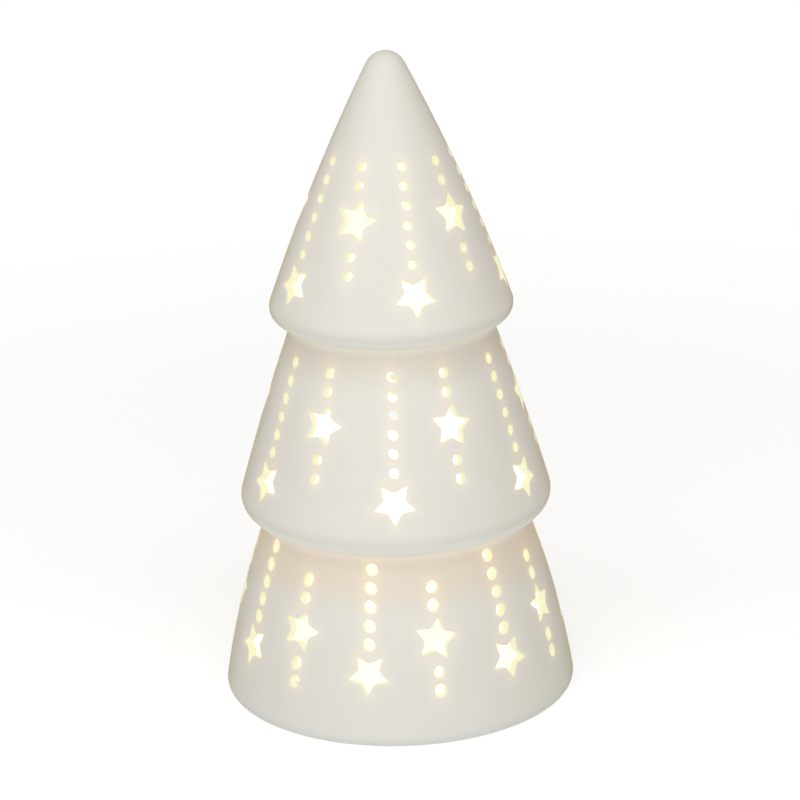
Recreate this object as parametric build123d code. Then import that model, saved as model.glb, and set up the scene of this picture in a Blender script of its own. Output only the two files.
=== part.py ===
from build123d import *
import os
from math import atan2, cos, degrees, hypot, pi, radians, sin, sqrt

# A pierced porcelain christmas tree of three tiers, lit by a battery unit that plugs into its base.
# Millimetres, +Z up. The origin is on the shelf, in the middle of the foot ring, and the front faces -Y.

# Outside of the tree
TREE_HEIGHT = 180.0
TIP_RADIUS = 5.8
BASE_RADIUS = 49.0
BASE_EDGE_RADIUS = 2.3
MIDDLE_RADIUS = 43.0
MIDDLE_HEM_RADIUS = 5.4
MIDDLE_HEM_HEIGHT = 56.8
MIDDLE_OVERHANG = 7.3
TOP_RADIUS = 33.3
TOP_HEM_RADIUS = 4.1
TOP_HEM_HEIGHT = 110.6
TOP_OVERHANG = 6.3
NECK_FILLET = 1.2
BOTTOM_BOW_RADIUS = 245.0
MIDDLE_BOW_RADIUS = 770.0
TOP_BOW_RADIUS = 550.0

# Wall and foot of the casting
WALL = 2.8
FLOOR = 3.6
LEDGE = 4.0
RECESS_CLEARANCE = 0.5
SEAT_CLEARANCE = 0.1
CUT_OVERRUN = 1.6

# Pierced strings of dots and stars: heights are those of the first dot, drops are heights too
TOP_DOT_RADIUS = 1.25
MIDDLE_DOT_RADIUS = 1.35
BOTTOM_DOT_RADIUS = 1.65
DOT_PITCH = 4.82
STAR_RADIUS = 5.4
STAR_NOTCH_SHARE = 0.48
LONG_STAR_DROP = 7.9
SHORT_STAR_DROP = 8.7
TOP_STRING_HEIGHT = 152.4
MIDDLE_STRING_HEIGHT = 98.6
BOTTOM_STRING_HEIGHT = 47.0
TOP_COLUMNS = 10
MIDDLE_COLUMNS = 12
BOTTOM_COLUMNS = 14
TOP_PHASE = 11.9
MIDDLE_PHASE = -1.3
BOTTOM_PHASE = -11.5
TOP_SHORT_SHIFT = 0.0
MIDDLE_SHORT_SHIFT = -3.0
BOTTOM_SHORT_SHIFT = -1.6
TOP_LONG_DOTS = 6
MIDDLE_LONG_DOTS = 6
BOTTOM_LONG_DOTS = 5
TOP_SHORT_SKIP = 0
MIDDLE_SHORT_SKIP = 0
BOTTOM_SHORT_SKIP = 1
SHORT_DOTS = 2
STAR_TURNS = (36.0, -9.0, -33.0, 0.0, 30.0, -14.0)

# Three AAA cells side by side along X
CELL_DIAMETER = 10.5
CELL_LENGTH = 44.5
CELL_SLEEVE = 0.2
CELL_SLEEVE_END = 1.0
CELL_EDGE_RADIUS = 0.4
BUTTON_RADIUS = 1.9
BUTTON_HEIGHT = 1.0
CELL_GAP = 0.6
CELL_PLAY = 0.4

# Contacts and springs
CONTACT = 0.4
CONTACT_WIDTH = 8.8
CONTACT_HEIGHT = 8.6
TAB_WIDTH = 2.4
TAB_RISE = 2.4
TAB_CLEARANCE = 0.2
SPRING_LENGTH = 4.8
SPRING_WIRE_RADIUS = 0.25
SPRING_BASE_RADIUS = 3.2
SPRING_TIP_RADIUS = 2.2
SPRING_SEAT = 0.05
SPRING_QUARTERS = 14

# Housing of the light unit
UNIT_LIFT = 1.0
FLANGE = 2.2
BAY_WALL = 1.4
SKIRT = 1.6
SKIRT_GAP = 0.3
PEG_HEIGHT = 2.0
LED_ROOM = 3.8
COVER = 1.6
COVER_RIM = 1.2
COVER_RIM_HEIGHT = 1.8
COVER_CLEARANCE = 0.2

# Silicone ring in the mouth
GRIP = 1.3
GRIP_CORE = 0.7
GRIP_RIBS = 3
MOUTH_CLEARANCE = 0.1

# Screws
SCREW_RADIUS = 1.15
SCREW_LENGTH = 9.0
SCREW_HEAD_RADIUS = 2.3
SCREW_HEAD = 1.7
SCREW_CLEARANCE = 0.05
SCREW_HOLE_CLEARANCE = 0.25
SCREW_SLOT = 0.6
SCREW_SLOT_DEPTH = 0.9
POST_WALL = 1.4
POST_SINK = 0.8
POST_ANGLE = 53.0

# Battery door and its hinge
DOOR = 1.6
DOOR_LAP = 0.9
DOOR_CLEARANCE = 0.25
DOOR_SEAT = 0.1
CELL_REST = 0.5
HINGE_HALF_LENGTH = 6.0
HINGE_RISE = 1.0
HINGE_GAP = 0.6
BARREL_RADIUS = 1.4
PIN_RADIUS = 1.0
PIN_LENGTH = 1.8
PIN_CLEARANCE = 0.05
EAR = 2.2
EAR_WALL = 1.0
EAR_CLEARANCE = 0.3
SWING_CLEARANCE = 0.4
TONGUE = 1.2
TONGUE_HALF_WIDTH = 4.0
TONGUE_RISE = 3.4
NAIL_NOTCH = 2.5

# Slide switch
SWITCH_LENGTH = 8.8
SWITCH_WIDTH = 4.6
SWITCH_HEIGHT = 4.6
SWITCH_SHEET = 0.5
SWITCH_BASE = 1.0
SWITCH_TRAVEL = 2.0
SWITCH_CLEARANCE = 0.2
SWITCH_SHOULDER = 1.2
KNOB_LENGTH = 2.6
KNOB_WIDTH = 1.8
KNOB_SHY = 0.3
DISH_DEPTH = 0.9
DISH_MARGIN = 1.6
SWITCH_PIN_PITCH = 2.5
SWITCH_PIN_LENGTH = 0.8
SWITCH_PIN_WIDTH = 0.5
SWITCH_PIN_RISE = 2.6
SWITCH_PIN_CLEARANCE = 0.05
RIB = 1.2
RIB_CLEARANCE = 0.1

# Circuit board, lamps and resistor
BOARD = 1.2
BOARD_RADIUS = 16.0
PEG_CIRCLE = 12.5
PEG_RADIUS = 1.8
SPIGOT_RADIUS = 0.95
SPIGOT_CLEARANCE = 0.1
SPIGOT_PROUD = 0.6
LED_COUNT = 3
LED_CIRCLE = 11.0
LED_RADIUS = 2.5
LED_RIM = 0.4
LED_RIM_HEIGHT = 1.0
LED_HEIGHT = 8.6
LED_STAND = 2.4
LED_CLEARANCE = 0.2
LEG_RADIUS = 0.25
LEG_PITCH = 2.54
LEG_TAIL = 0.8
LEG_CLEARANCE = 0.15
RESISTOR_RADIUS = 1.1
RESISTOR_LENGTH = 6.2
RESISTOR_SPAN = 10.16
RESISTOR_LIFT = 0.1
RESISTOR_BEND = 0.7

# Insulated wires
WIRE_RADIUS = 0.6
WIRE_BEND = 1.4
WIRE_RUN = 5.0
WIRE_LIFT = 2.2
WIRE_SIDE = 2.2
PAD_CIRCLE = 13.8
BLUE_PAD_ANGLE = 249.0
BLACK_PAD_ANGLE = 163.0

BOTTOM_ALIGN = (Align.CENTER, Align.CENTER, Align.MIN)
TOP_ALIGN = (Align.CENTER, Align.CENTER, Align.MAX)

# Plan of the light unit, worked outwards from the cells
cell_pitch = CELL_DIAMETER + CELL_GAP
cell_rows = (cell_pitch, 0, -cell_pitch)
bay_half_length = (CELL_LENGTH + SPRING_LENGTH) / 2 + CONTACT
bay_half_width = cell_pitch + CELL_DIAMETER / 2 + CELL_PLAY
shell_half_length = bay_half_length + BAY_WALL
shell_half_width = bay_half_width + BAY_WALL
skirt_inner = hypot(shell_half_length, shell_half_width) + SKIRT_GAP
skirt_radius = skirt_inner + SKIRT
mouth_radius = skirt_radius + GRIP + MOUTH_CLEARANCE
flange_radius = mouth_radius + LEDGE
recess_radius = flange_radius + RECESS_CLEARANCE

# Levels of the light unit, from the shelf upwards
flange_top = UNIT_LIFT + FLANGE
ledge_level = flange_top + SEAT_CLEARANCE
floor_top = ledge_level + FLOOR
door_top = UNIT_LIFT + DOOR
door_seat = door_top + DOOR_SEAT
cell_level = door_top + CELL_REST + CELL_DIAMETER / 2
roof_bottom = cell_level + CELL_DIAMETER / 2 + CELL_PLAY
roof_top = roof_bottom + BAY_WALL
board_bottom = roof_top + PEG_HEIGHT
board_top = board_bottom + BOARD
skirt_top = board_top + LED_ROOM
cover_top = skirt_top + COVER
hinge_level = door_top + HINGE_RISE
hinge_reach = shell_half_length + HINGE_GAP + BARREL_RADIUS
switch_reach = (shell_half_width + skirt_inner) / 2
switch_top = flange_top + SWITCH_HEIGHT
switch_pin_top = switch_top + SWITCH_PIN_RISE
tab_top = roof_top + TAB_RISE
post_radius = SCREW_RADIUS + POST_WALL
post_reach = skirt_inner - post_radius + POST_SINK
post_angles = (POST_ANGLE, 180 - POST_ANGLE, 180 + POST_ANGLE, -POST_ANGLE)
led_level = board_top + LED_STAND


def polar(radius, angle, level=0):
    """A place on a circle round the Z axis, with the angle in degrees from +X."""
    return Vector(radius * cos(radians(angle)), radius * sin(radians(angle)), level)


def block(low, high):
    """A box between two opposite corners."""
    size = Vector(*high) - Vector(*low)
    return Pos(*low) * Box(size.X, size.Y, size.Z, align=(Align.MIN, Align.MIN, Align.MIN))


def rod(radius, start, end):
    """A round bar between two points."""
    axis = Vector(*end) - Vector(*start)
    return Plane(origin=start, z_dir=axis) * Cylinder(radius, axis.length, align=BOTTOM_ALIGN)


def disc(radius, low, high, place=(0, 0)):
    """An upright cylinder between two levels."""
    return Pos(place[0], place[1], low) * Cylinder(radius, high - low, align=BOTTOM_ALIGN)


def tube_along(radius, points, bend):
    """A round wire along straight runs that are joined by tangent arcs."""
    path = FilletPolyline(*points, radius=bend)
    section = Plane(origin=path @ 0, z_dir=path % 0) * Circle(radius)
    return sweep(section, path=path)


def bearing(start, end):
    """Angle in degrees of the line from one point of the profile to another."""
    return degrees(atan2(end.Y - start.Y, end.X - start.X))


def circles_meet(first, first_radius, second, second_radius, side):
    """Where two circles cross: side 1 is left of the line from the first centre to the second, -1 right."""
    apart = second - first
    along = (apart.length**2 + first_radius**2 - second_radius**2) / (2 * apart.length)
    across = sqrt(first_radius**2 - along**2)
    ahead = apart.normalized()
    return first + ahead * along + Vector(-ahead.Y, ahead.X) * (across * side)


# Circles of the tree's profile, with the radius from the axis as X and the height as Y
base_centre = Vector(BASE_RADIUS - BASE_EDGE_RADIUS, BASE_EDGE_RADIUS)
middle_centre = Vector(MIDDLE_RADIUS - MIDDLE_HEM_RADIUS, MIDDLE_HEM_HEIGHT)
top_centre = Vector(TOP_RADIUS - TOP_HEM_RADIUS, TOP_HEM_HEIGHT)
tip_centre = Vector(0, TREE_HEIGHT - TIP_RADIUS)


def neck_point(centre, hem_radius, overhang):
    """The point on the underside of a hem that is in from its widest point by the overhang."""
    inward = overhang - hem_radius
    return centre - Vector(inward, sqrt(hem_radius**2 - inward**2))


# Each tier's bowed side is tangent to its own hem and runs to the neck above, or to the tip
bottom_bow = circles_meet(
    base_centre,
    BOTTOM_BOW_RADIUS - BASE_EDGE_RADIUS,
    neck_point(middle_centre, MIDDLE_HEM_RADIUS, MIDDLE_OVERHANG),
    BOTTOM_BOW_RADIUS,
    1,
)
middle_bow = circles_meet(
    middle_centre,
    MIDDLE_BOW_RADIUS - MIDDLE_HEM_RADIUS,
    neck_point(top_centre, TOP_HEM_RADIUS, TOP_OVERHANG),
    MIDDLE_BOW_RADIUS,
    1,
)
top_bow = circles_meet(
    top_centre, TOP_BOW_RADIUS - TOP_HEM_RADIUS, tip_centre, TOP_BOW_RADIUS - TIP_RADIUS, 1
)
lower_valley = circles_meet(
    bottom_bow, BOTTOM_BOW_RADIUS + NECK_FILLET, middle_centre, MIDDLE_HEM_RADIUS + NECK_FILLET, -1
)
upper_valley = circles_meet(
    middle_bow, MIDDLE_BOW_RADIUS + NECK_FILLET, top_centre, TOP_HEM_RADIUS + NECK_FILLET, -1
)


def arc(centre, radius, start, stop):
    """An arc of the profile between two angles in degrees, turning from start to stop."""
    return CenterArc((centre.X, centre.Y), radius, start, stop - start)


def tier_arcs(inset, bottom_start):
    """The chain of arcs from the bottom tier's side to the tip, moved in from the outside by inset."""
    lower_turn = bearing(lower_valley, bottom_bow) % 360
    upper_turn = bearing(upper_valley, middle_bow) % 360
    return [
        arc(bottom_bow, BOTTOM_BOW_RADIUS - inset, bottom_start, bearing(bottom_bow, lower_valley)),
        arc(lower_valley, NECK_FILLET + inset, lower_turn, bearing(lower_valley, middle_centre)),
        arc(
            middle_centre,
            MIDDLE_HEM_RADIUS - inset,
            bearing(middle_centre, lower_valley),
            bearing(middle_bow, middle_centre),
        ),
        arc(
            middle_bow,
            MIDDLE_BOW_RADIUS - inset,
            bearing(middle_bow, middle_centre),
            bearing(middle_bow, upper_valley),
        ),
        arc(upper_valley, NECK_FILLET + inset, upper_turn, bearing(upper_valley, top_centre)),
        arc(
            top_centre,
            TOP_HEM_RADIUS - inset,
            bearing(top_centre, upper_valley),
            bearing(top_bow, top_centre),
        ),
        arc(top_bow, TOP_BOW_RADIUS - inset, bearing(top_bow, top_centre), bearing(top_bow, tip_centre)),
        arc(tip_centre, TIP_RADIUS - inset, bearing(top_bow, tip_centre), 90),
    ]


def tree_shell():
    """The casting before it is pierced: a turned wall with a foot ring, a recess and a floor with a mouth."""
    base_lean = bearing(bottom_bow, base_centre)
    inner_radius = BOTTOM_BOW_RADIUS - WALL
    inner_rise = floor_top - bottom_bow.Y
    inner_corner = bottom_bow.X + sqrt(inner_radius**2 - inner_rise**2)
    inner_start = bearing(bottom_bow, Vector(inner_corner, floor_top))
    foot = [
        (inner_corner, floor_top),
        (mouth_radius, floor_top),
        (mouth_radius, ledge_level),
        (recess_radius, ledge_level),
        (recess_radius, 0),
        (base_centre.X, 0),
    ]
    edges = [arc(base_centre, BASE_EDGE_RADIUS, -90, base_lean)]
    edges += tier_arcs(0, base_lean)
    edges += [Line((0, TREE_HEIGHT), (0, TREE_HEIGHT - WALL))]
    edges += tier_arcs(WALL, inner_start)
    edges += [Line(start, end) for start, end in zip(foot, foot[1:])]
    return revolve(Plane.XZ * make_face(edges), Axis.Z, 360)


def face_plane(bow, bow_radius, height, azimuth):
    """A plane on a tier's outside, its Z outwards and its Y up the slope. Azimuth 0 is the front."""
    rise = height - bow.Y
    reach = sqrt(bow_radius**2 - rise**2)
    turn = radians(azimuth)
    outwards = Vector(reach * sin(turn), -reach * cos(turn), rise)
    radius = bow.X + reach
    return Plane(
        origin=(radius * sin(turn), -radius * cos(turn), height),
        x_dir=(cos(turn), sin(turn), 0),
        z_dir=outwards.normalized(),
    )


def star_face():
    """A five-point star with one point up."""
    corners = []
    for index in range(10):
        radius = STAR_RADIUS * (STAR_NOTCH_SHARE if index % 2 else 1)
        corners.append(polar(radius, 90 + 36 * index))
    return make_face(Polyline(*corners, close=True))


def string_cutters(
    bow, bow_radius, first_height, dot_radius, columns, phase, short_shift, long_dots, short_skip
):
    """The punches of one tier: long strings end in a star, short ones have a star between their dots."""
    depth = WALL + 2 * CUT_OVERRUN
    dot = Pos(0, 0, CUT_OVERRUN) * Cylinder(dot_radius, depth, align=TOP_ALIGN)
    star = Pos(0, 0, CUT_OVERRUN - depth) * extrude(star_face(), amount=depth)
    cutters = []
    for column in range(-(columns // 2), columns - columns // 2):
        azimuth = phase + column * 360 / columns
        if column % 2 == 0:
            dots = [first_height - DOT_PITCH * index for index in range(long_dots)]
            star_height = dots[-1] - LONG_STAR_DROP
        else:
            azimuth += short_shift
            start = first_height - DOT_PITCH * short_skip
            above = [start - DOT_PITCH * index for index in range(SHORT_DOTS)]
            star_height = above[-1] - SHORT_STAR_DROP
            below = [star_height - SHORT_STAR_DROP - DOT_PITCH * index for index in range(SHORT_DOTS)]
            dots = above + below
        cutters += [face_plane(bow, bow_radius, height, azimuth) * dot for height in dots]
        turn = Rot(0, 0, STAR_TURNS[column % len(STAR_TURNS)])
        cutters.append(face_plane(bow, bow_radius, star_height, azimuth) * turn * star)
    return cutters


def porcelain_tree():
    """The pierced casting."""
    cutters = string_cutters(
        top_bow,
        TOP_BOW_RADIUS,
        TOP_STRING_HEIGHT,
        TOP_DOT_RADIUS,
        TOP_COLUMNS,
        TOP_PHASE,
        TOP_SHORT_SHIFT,
        TOP_LONG_DOTS,
        TOP_SHORT_SKIP,
    )
    cutters += string_cutters(
        middle_bow,
        MIDDLE_BOW_RADIUS,
        MIDDLE_STRING_HEIGHT,
        MIDDLE_DOT_RADIUS,
        MIDDLE_COLUMNS,
        MIDDLE_PHASE,
        MIDDLE_SHORT_SHIFT,
        MIDDLE_LONG_DOTS,
        MIDDLE_SHORT_SKIP,
    )
    cutters += string_cutters(
        bottom_bow,
        BOTTOM_BOW_RADIUS,
        BOTTOM_STRING_HEIGHT,
        BOTTOM_DOT_RADIUS,
        BOTTOM_COLUMNS,
        BOTTOM_PHASE,
        BOTTOM_SHORT_SHIFT,
        BOTTOM_LONG_DOTS,
        BOTTOM_SHORT_SKIP,
    )
    return tree_shell() - cutters


def led_places():
    """Centres of the lamps on the board."""
    return [polar(LED_CIRCLE, 90 + 360 * index / LED_COUNT) for index in range(LED_COUNT)]


def peg_places():
    """Centres of the pegs that carry the board, between the lamps."""
    return [polar(PEG_CIRCLE, 90 + 360 * (index + 1 / 2) / LED_COUNT) for index in range(LED_COUNT)]


def leg_places(centre):
    """The two leads of one lamp."""
    return [centre - Vector(LEG_PITCH / 2, 0), centre + Vector(LEG_PITCH / 2, 0)]


def post_places():
    """Centres of the screw posts."""
    return [polar(post_reach, angle) for angle in post_angles]


def flange_cuts():
    """Everything cut through the underside: bay, door rebate, hinge slot, latch slot, switch slot and dish."""
    below = UNIT_LIFT - CUT_OVERRUN
    rebate_length = bay_half_length + DOOR_LAP
    rebate_width = bay_half_width + DOOR_LAP
    hinge_half = HINGE_HALF_LENGTH + EAR_CLEARANCE
    hinge_end = hinge_reach + hinge_level - UNIT_LIFT + SWING_CLEARANCE
    latch_half = TONGUE_HALF_WIDTH + DOOR_CLEARANCE
    latch_end = shell_half_length + DOOR_CLEARANCE + TONGUE + NAIL_NOTCH
    slot_half = (KNOB_LENGTH + SWITCH_TRAVEL) / 2 + SWITCH_CLEARANCE
    slot_width = KNOB_WIDTH / 2 + SWITCH_CLEARANCE
    dish_length = 2 * (slot_half + DISH_MARGIN)
    dish = extrude(SlotOverall(dish_length, 2 * (slot_width + DISH_MARGIN)), amount=DISH_DEPTH)
    return [
        block((-bay_half_length, -bay_half_width, below), (bay_half_length, bay_half_width, roof_bottom)),
        block((-rebate_length, -rebate_width, below), (rebate_length, rebate_width, door_seat)),
        block((-hinge_end, -hinge_half, below), (-rebate_length, hinge_half, door_seat)),
        block((-hinge_end, -hinge_half, below), (-shell_half_length, hinge_half, flange_top)),
        block((rebate_length, -latch_half, below), (latch_end, latch_half, door_seat)),
        block((shell_half_length, -latch_half, below), (latch_end, latch_half, flange_top)),
        block(
            (-slot_half, -switch_reach - slot_width, below),
            (slot_half, -switch_reach + slot_width, flange_top),
        ),
        Pos(0, -switch_reach, UNIT_LIFT) * dish,
    ]


def unit_base():
    """The lower housing: flange, skirt, battery bay, posts, pegs, hinge ears and switch ribs in one moulding."""
    body = disc(flange_radius, UNIT_LIFT, flange_top)
    body += disc(skirt_radius, flange_top, skirt_top) - disc(skirt_inner, flange_top, skirt_top)
    body += block(
        (-shell_half_length, -shell_half_width, door_seat), (shell_half_length, shell_half_width, roof_top)
    )
    for place in post_places():
        body += disc(post_radius, flange_top, skirt_top, (place.X, place.Y))
    for place in peg_places():
        body += disc(PEG_RADIUS, roof_top, board_bottom, (place.X, place.Y))
        body += disc(SPIGOT_RADIUS, board_bottom, board_top + SPIGOT_PROUD, (place.X, place.Y))
    ear_half = PIN_RADIUS + EAR_WALL
    ear_near = HINGE_HALF_LENGTH + EAR_CLEARANCE
    ear_far = ear_near + EAR
    rib_near = SWITCH_LENGTH / 2 + RIB_CLEARANCE
    for side in (-1, 1):
        ear_low = min(side * ear_near, side * ear_far)
        ear_high = max(side * ear_near, side * ear_far)
        body += block(
            (-hinge_reach - ear_half, ear_low, flange_top),
            (-hinge_reach + ear_half, ear_high, hinge_level + ear_half),
        )
        rib_low = min(side * rib_near, side * (rib_near + RIB))
        rib_high = max(side * rib_near, side * (rib_near + RIB))
        body += block(
            (rib_low, -switch_reach - SWITCH_WIDTH / 2, flange_top),
            (rib_high, -switch_reach + SWITCH_WIDTH / 2, switch_top),
        )
    body -= flange_cuts()
    bore_reach = ear_far + CUT_OVERRUN
    bore = rod(
        PIN_RADIUS + PIN_CLEARANCE,
        (-hinge_reach, -bore_reach, hinge_level),
        (-hinge_reach, bore_reach, hinge_level),
    )
    body -= bore
    screw_bottom = cover_top - SCREW_LENGTH - SCREW_CLEARANCE
    for place in post_places():
        body -= disc(SCREW_RADIUS + SCREW_CLEARANCE, screw_bottom, skirt_top, (place.X, place.Y))
    for x_side, row in ((1, cell_rows[2]), (-1, cell_rows[0])):
        tab_near = bay_half_length - CONTACT - TAB_CLEARANCE
        tab_far = bay_half_length
        body -= block(
            (min(x_side * tab_near, x_side * tab_far), row - TAB_WIDTH / 2 - TAB_CLEARANCE, roof_bottom),
            (max(x_side * tab_near, x_side * tab_far), row + TAB_WIDTH / 2 + TAB_CLEARANCE, roof_top),
        )
    return body


def unit_cover():
    """The cover disc with its locating rim, lamp holes and screw holes."""
    rim_radius = skirt_inner - COVER_CLEARANCE
    rim_low = skirt_top - COVER_RIM_HEIGHT
    body = disc(skirt_radius, skirt_top, cover_top)
    body += disc(rim_radius, rim_low, skirt_top) - disc(rim_radius - COVER_RIM, rim_low, skirt_top)
    for place in post_places():
        body -= disc(post_radius + COVER_CLEARANCE, rim_low, skirt_top, (place.X, place.Y))
        body -= disc(SCREW_RADIUS + SCREW_HOLE_CLEARANCE, skirt_top, cover_top, (place.X, place.Y))
    for place in led_places():
        body -= disc(LED_RADIUS + LED_CLEARANCE, skirt_top, cover_top, (place.X, place.Y))
    return body


def cover_screws():
    """Pan-head screws with a cross slot, one at each post."""
    head_top = cover_top + SCREW_HEAD
    slot_low = head_top - SCREW_SLOT_DEPTH
    reach = SCREW_HEAD_RADIUS - SCREW_SLOT
    screw = disc(SCREW_RADIUS, cover_top - SCREW_LENGTH, cover_top)
    screw += disc(SCREW_HEAD_RADIUS, cover_top, head_top)
    screw = fillet(screw.edges().group_by(Axis.Z)[-1], SCREW_SLOT)
    screw -= block((-reach, -SCREW_SLOT / 2, slot_low), (reach, SCREW_SLOT / 2, head_top))
    screw -= block((-SCREW_SLOT / 2, -reach, slot_low), (SCREW_SLOT / 2, reach, head_top))
    return Compound([Pos(place.X, place.Y, 0) * screw.solid() for place in post_places()])


def grip_ring():
    """The silicone ring round the skirt, with ribs that press against the mouth."""
    core_radius = skirt_radius + GRIP_CORE
    rib_radius = skirt_radius + GRIP
    step = FLOOR / GRIP_RIBS
    corners = [(skirt_radius, flange_top), (core_radius, flange_top)]
    for index in range(GRIP_RIBS):
        low = flange_top + step * index
        corners += [(rib_radius, low + step / 2), (core_radius, low + step)]
    corners += [(skirt_radius, flange_top + FLOOR)]
    return revolve(Plane.XZ * make_face(Polyline(*corners, close=True)), Axis.Z, 360)


def circuit_board():
    """The round board with holes for pegs, lamp leads and resistor leads."""
    body = disc(BOARD_RADIUS, board_bottom, board_top)
    for place in peg_places():
        body -= disc(SPIGOT_RADIUS + SPIGOT_CLEARANCE, board_bottom, board_top, (place.X, place.Y))
    holes = [leg for place in led_places() for leg in leg_places(place)]
    holes += [Vector(RESISTOR_SPAN / 2, 0), Vector(-RESISTOR_SPAN / 2, 0)]
    for place in holes:
        body -= disc(LEG_RADIUS + LEG_CLEARANCE, board_bottom, board_top, (place.X, place.Y))
    return body


def led_lens(place):
    """A round lamp with a rim and a domed top."""
    spot = (place.X, place.Y)
    dome_level = led_level + LED_HEIGHT - LED_RADIUS
    body = disc(LED_RADIUS + LED_RIM, led_level, led_level + LED_RIM_HEIGHT, spot)
    body += disc(LED_RADIUS, led_level, dome_level, spot)
    return body + Pos(place.X, place.Y, dome_level) * Sphere(LED_RADIUS)


def led_legs(place):
    """The two leads of a lamp, through the board."""
    low = board_bottom - LEG_TAIL
    return Compound([disc(LEG_RADIUS, low, led_level, (leg.X, leg.Y)).solid() for leg in leg_places(place)])


def resistor():
    """The resistor's body, lying along X over the middle of the board."""
    level = board_top + RESISTOR_LIFT + RESISTOR_RADIUS
    half = RESISTOR_LENGTH / 2
    body = rod(RESISTOR_RADIUS, (-half, 0, level), (half, 0, level))
    return fillet(body.edges().filter_by(GeomType.CIRCLE), RESISTOR_RADIUS / 3)


def resistor_leads():
    """Two leads, each bent down through the board."""
    level = board_top + RESISTOR_LIFT + RESISTOR_RADIUS
    low = board_bottom - LEG_TAIL
    leads = []
    for side in (-1, 1):
        start = (side * RESISTOR_LENGTH / 2, 0, level)
        corner = (side * RESISTOR_SPAN / 2, 0, level)
        end = (side * RESISTOR_SPAN / 2, 0, low)
        leads.append(tube_along(LEG_RADIUS, [start, corner, end], RESISTOR_BEND).solid())
    return Compound(leads)


def switch_case():
    """The folded sheet case of the slide switch, open at the top and slotted for the knob."""
    half_length = SWITCH_LENGTH / 2
    half_width = SWITCH_WIDTH / 2
    inner_length = half_length - SWITCH_SHEET
    inner_width = half_width - SWITCH_SHEET
    slot_half = (KNOB_LENGTH + SWITCH_TRAVEL) / 2 + SWITCH_CLEARANCE
    slot_width = KNOB_WIDTH / 2 + SWITCH_CLEARANCE
    inner_low = flange_top + SWITCH_SHEET
    body = block((-half_length, -half_width, flange_top), (half_length, half_width, switch_top))
    body -= block((-inner_length, -inner_width, inner_low), (inner_length, inner_width, switch_top))
    body -= block((-slot_half, -slot_width, flange_top), (slot_half, slot_width, inner_low))
    return Pos(0, -switch_reach, 0) * body


def switch_pin_places():
    """X of the three switch pins."""
    return [SWITCH_PIN_PITCH * index for index in (-1, 0, 1)]


def switch_base():
    """The insulating plate in the top of the switch case, which holds the pins."""
    half_length = SWITCH_LENGTH / 2 - SWITCH_SHEET
    half_width = SWITCH_WIDTH / 2 - SWITCH_SHEET
    low = switch_top - SWITCH_BASE
    hole_length = SWITCH_PIN_LENGTH / 2 + SWITCH_PIN_CLEARANCE
    hole_width = SWITCH_PIN_WIDTH / 2 + SWITCH_PIN_CLEARANCE
    body = block((-half_length, -half_width, low), (half_length, half_width, switch_top))
    for place in switch_pin_places():
        body -= block((place - hole_length, -hole_width, low), (place + hole_length, hole_width, switch_top))
    return Pos(0, -switch_reach, 0) * body


def switch_pins():
    """Three flat pins that stand up from the switch."""
    half_length = SWITCH_PIN_LENGTH / 2
    half_width = SWITCH_PIN_WIDTH / 2
    low = switch_top - SWITCH_BASE
    pins = []
    for place in switch_pin_places():
        pin = block((place - half_length, -half_width, low), (place + half_length, half_width, switch_pin_top))
        pins.append(Pos(0, -switch_reach, 0) * pin.solid())
    return Compound(pins)


def switch_slider():
    """The moving knob with its shoulder inside the case. It rests at its on end, towards +X."""
    shoulder_low = flange_top + SWITCH_SHEET + SWITCH_CLEARANCE
    half_length = SWITCH_LENGTH / 2 - SWITCH_SHEET - SWITCH_CLEARANCE - SWITCH_TRAVEL / 2
    half_width = SWITCH_WIDTH / 2 - SWITCH_SHEET - SWITCH_CLEARANCE
    knob_low = UNIT_LIFT + KNOB_SHY
    body = block(
        (-half_length, -half_width, shoulder_low), (half_length, half_width, shoulder_low + SWITCH_SHOULDER)
    )
    body += block((-KNOB_LENGTH / 2, -KNOB_WIDTH / 2, knob_low), (KNOB_LENGTH / 2, KNOB_WIDTH / 2, shoulder_low))
    return Pos(SWITCH_TRAVEL / 2, -switch_reach, 0) * body


def battery_door():
    """The door plate, with a hinge arm, barrel and moulded pins at -X and a latch tongue at +X.

    Its back edge is hollowed round the hinge axis, so that it clears the flange as it swings down.
    """
    half_length = bay_half_length + DOOR_LAP - DOOR_CLEARANCE
    half_width = bay_half_width + DOOR_LAP - DOOR_CLEARANCE
    tongue_near = shell_half_length + DOOR_CLEARANCE
    tongue_far = tongue_near + TONGUE
    pin_reach = HINGE_HALF_LENGTH + EAR_CLEARANCE + PIN_LENGTH
    swing_radius = hypot(hinge_reach - bay_half_length - DOOR_LAP, hinge_level - UNIT_LIFT) + DOOR_CLEARANCE
    body = block((-half_length, -half_width, UNIT_LIFT), (half_length, half_width, door_top))
    body -= rod(
        swing_radius, (-hinge_reach, -half_width, hinge_level), (-hinge_reach, half_width, hinge_level)
    )
    body += block(
        (-hinge_reach, -HINGE_HALF_LENGTH, UNIT_LIFT),
        (-hinge_reach + swing_radius, HINGE_HALF_LENGTH, door_top),
    )
    body += block(
        (-hinge_reach, -HINGE_HALF_LENGTH, door_top),
        (-hinge_reach + BARREL_RADIUS, HINGE_HALF_LENGTH, hinge_level),
    )
    body += rod(
        BARREL_RADIUS,
        (-hinge_reach, -HINGE_HALF_LENGTH, hinge_level),
        (-hinge_reach, HINGE_HALF_LENGTH, hinge_level),
    )
    body += rod(PIN_RADIUS, (-hinge_reach, -pin_reach, hinge_level), (-hinge_reach, pin_reach, hinge_level))
    body += block((half_length, -TONGUE_HALF_WIDTH, UNIT_LIFT), (tongue_far, TONGUE_HALF_WIDTH, door_top))
    body += block(
        (tongue_near, -TONGUE_HALF_WIDTH, door_top), (tongue_far, TONGUE_HALF_WIDTH, door_top + TONGUE_RISE)
    )
    return body


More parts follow.
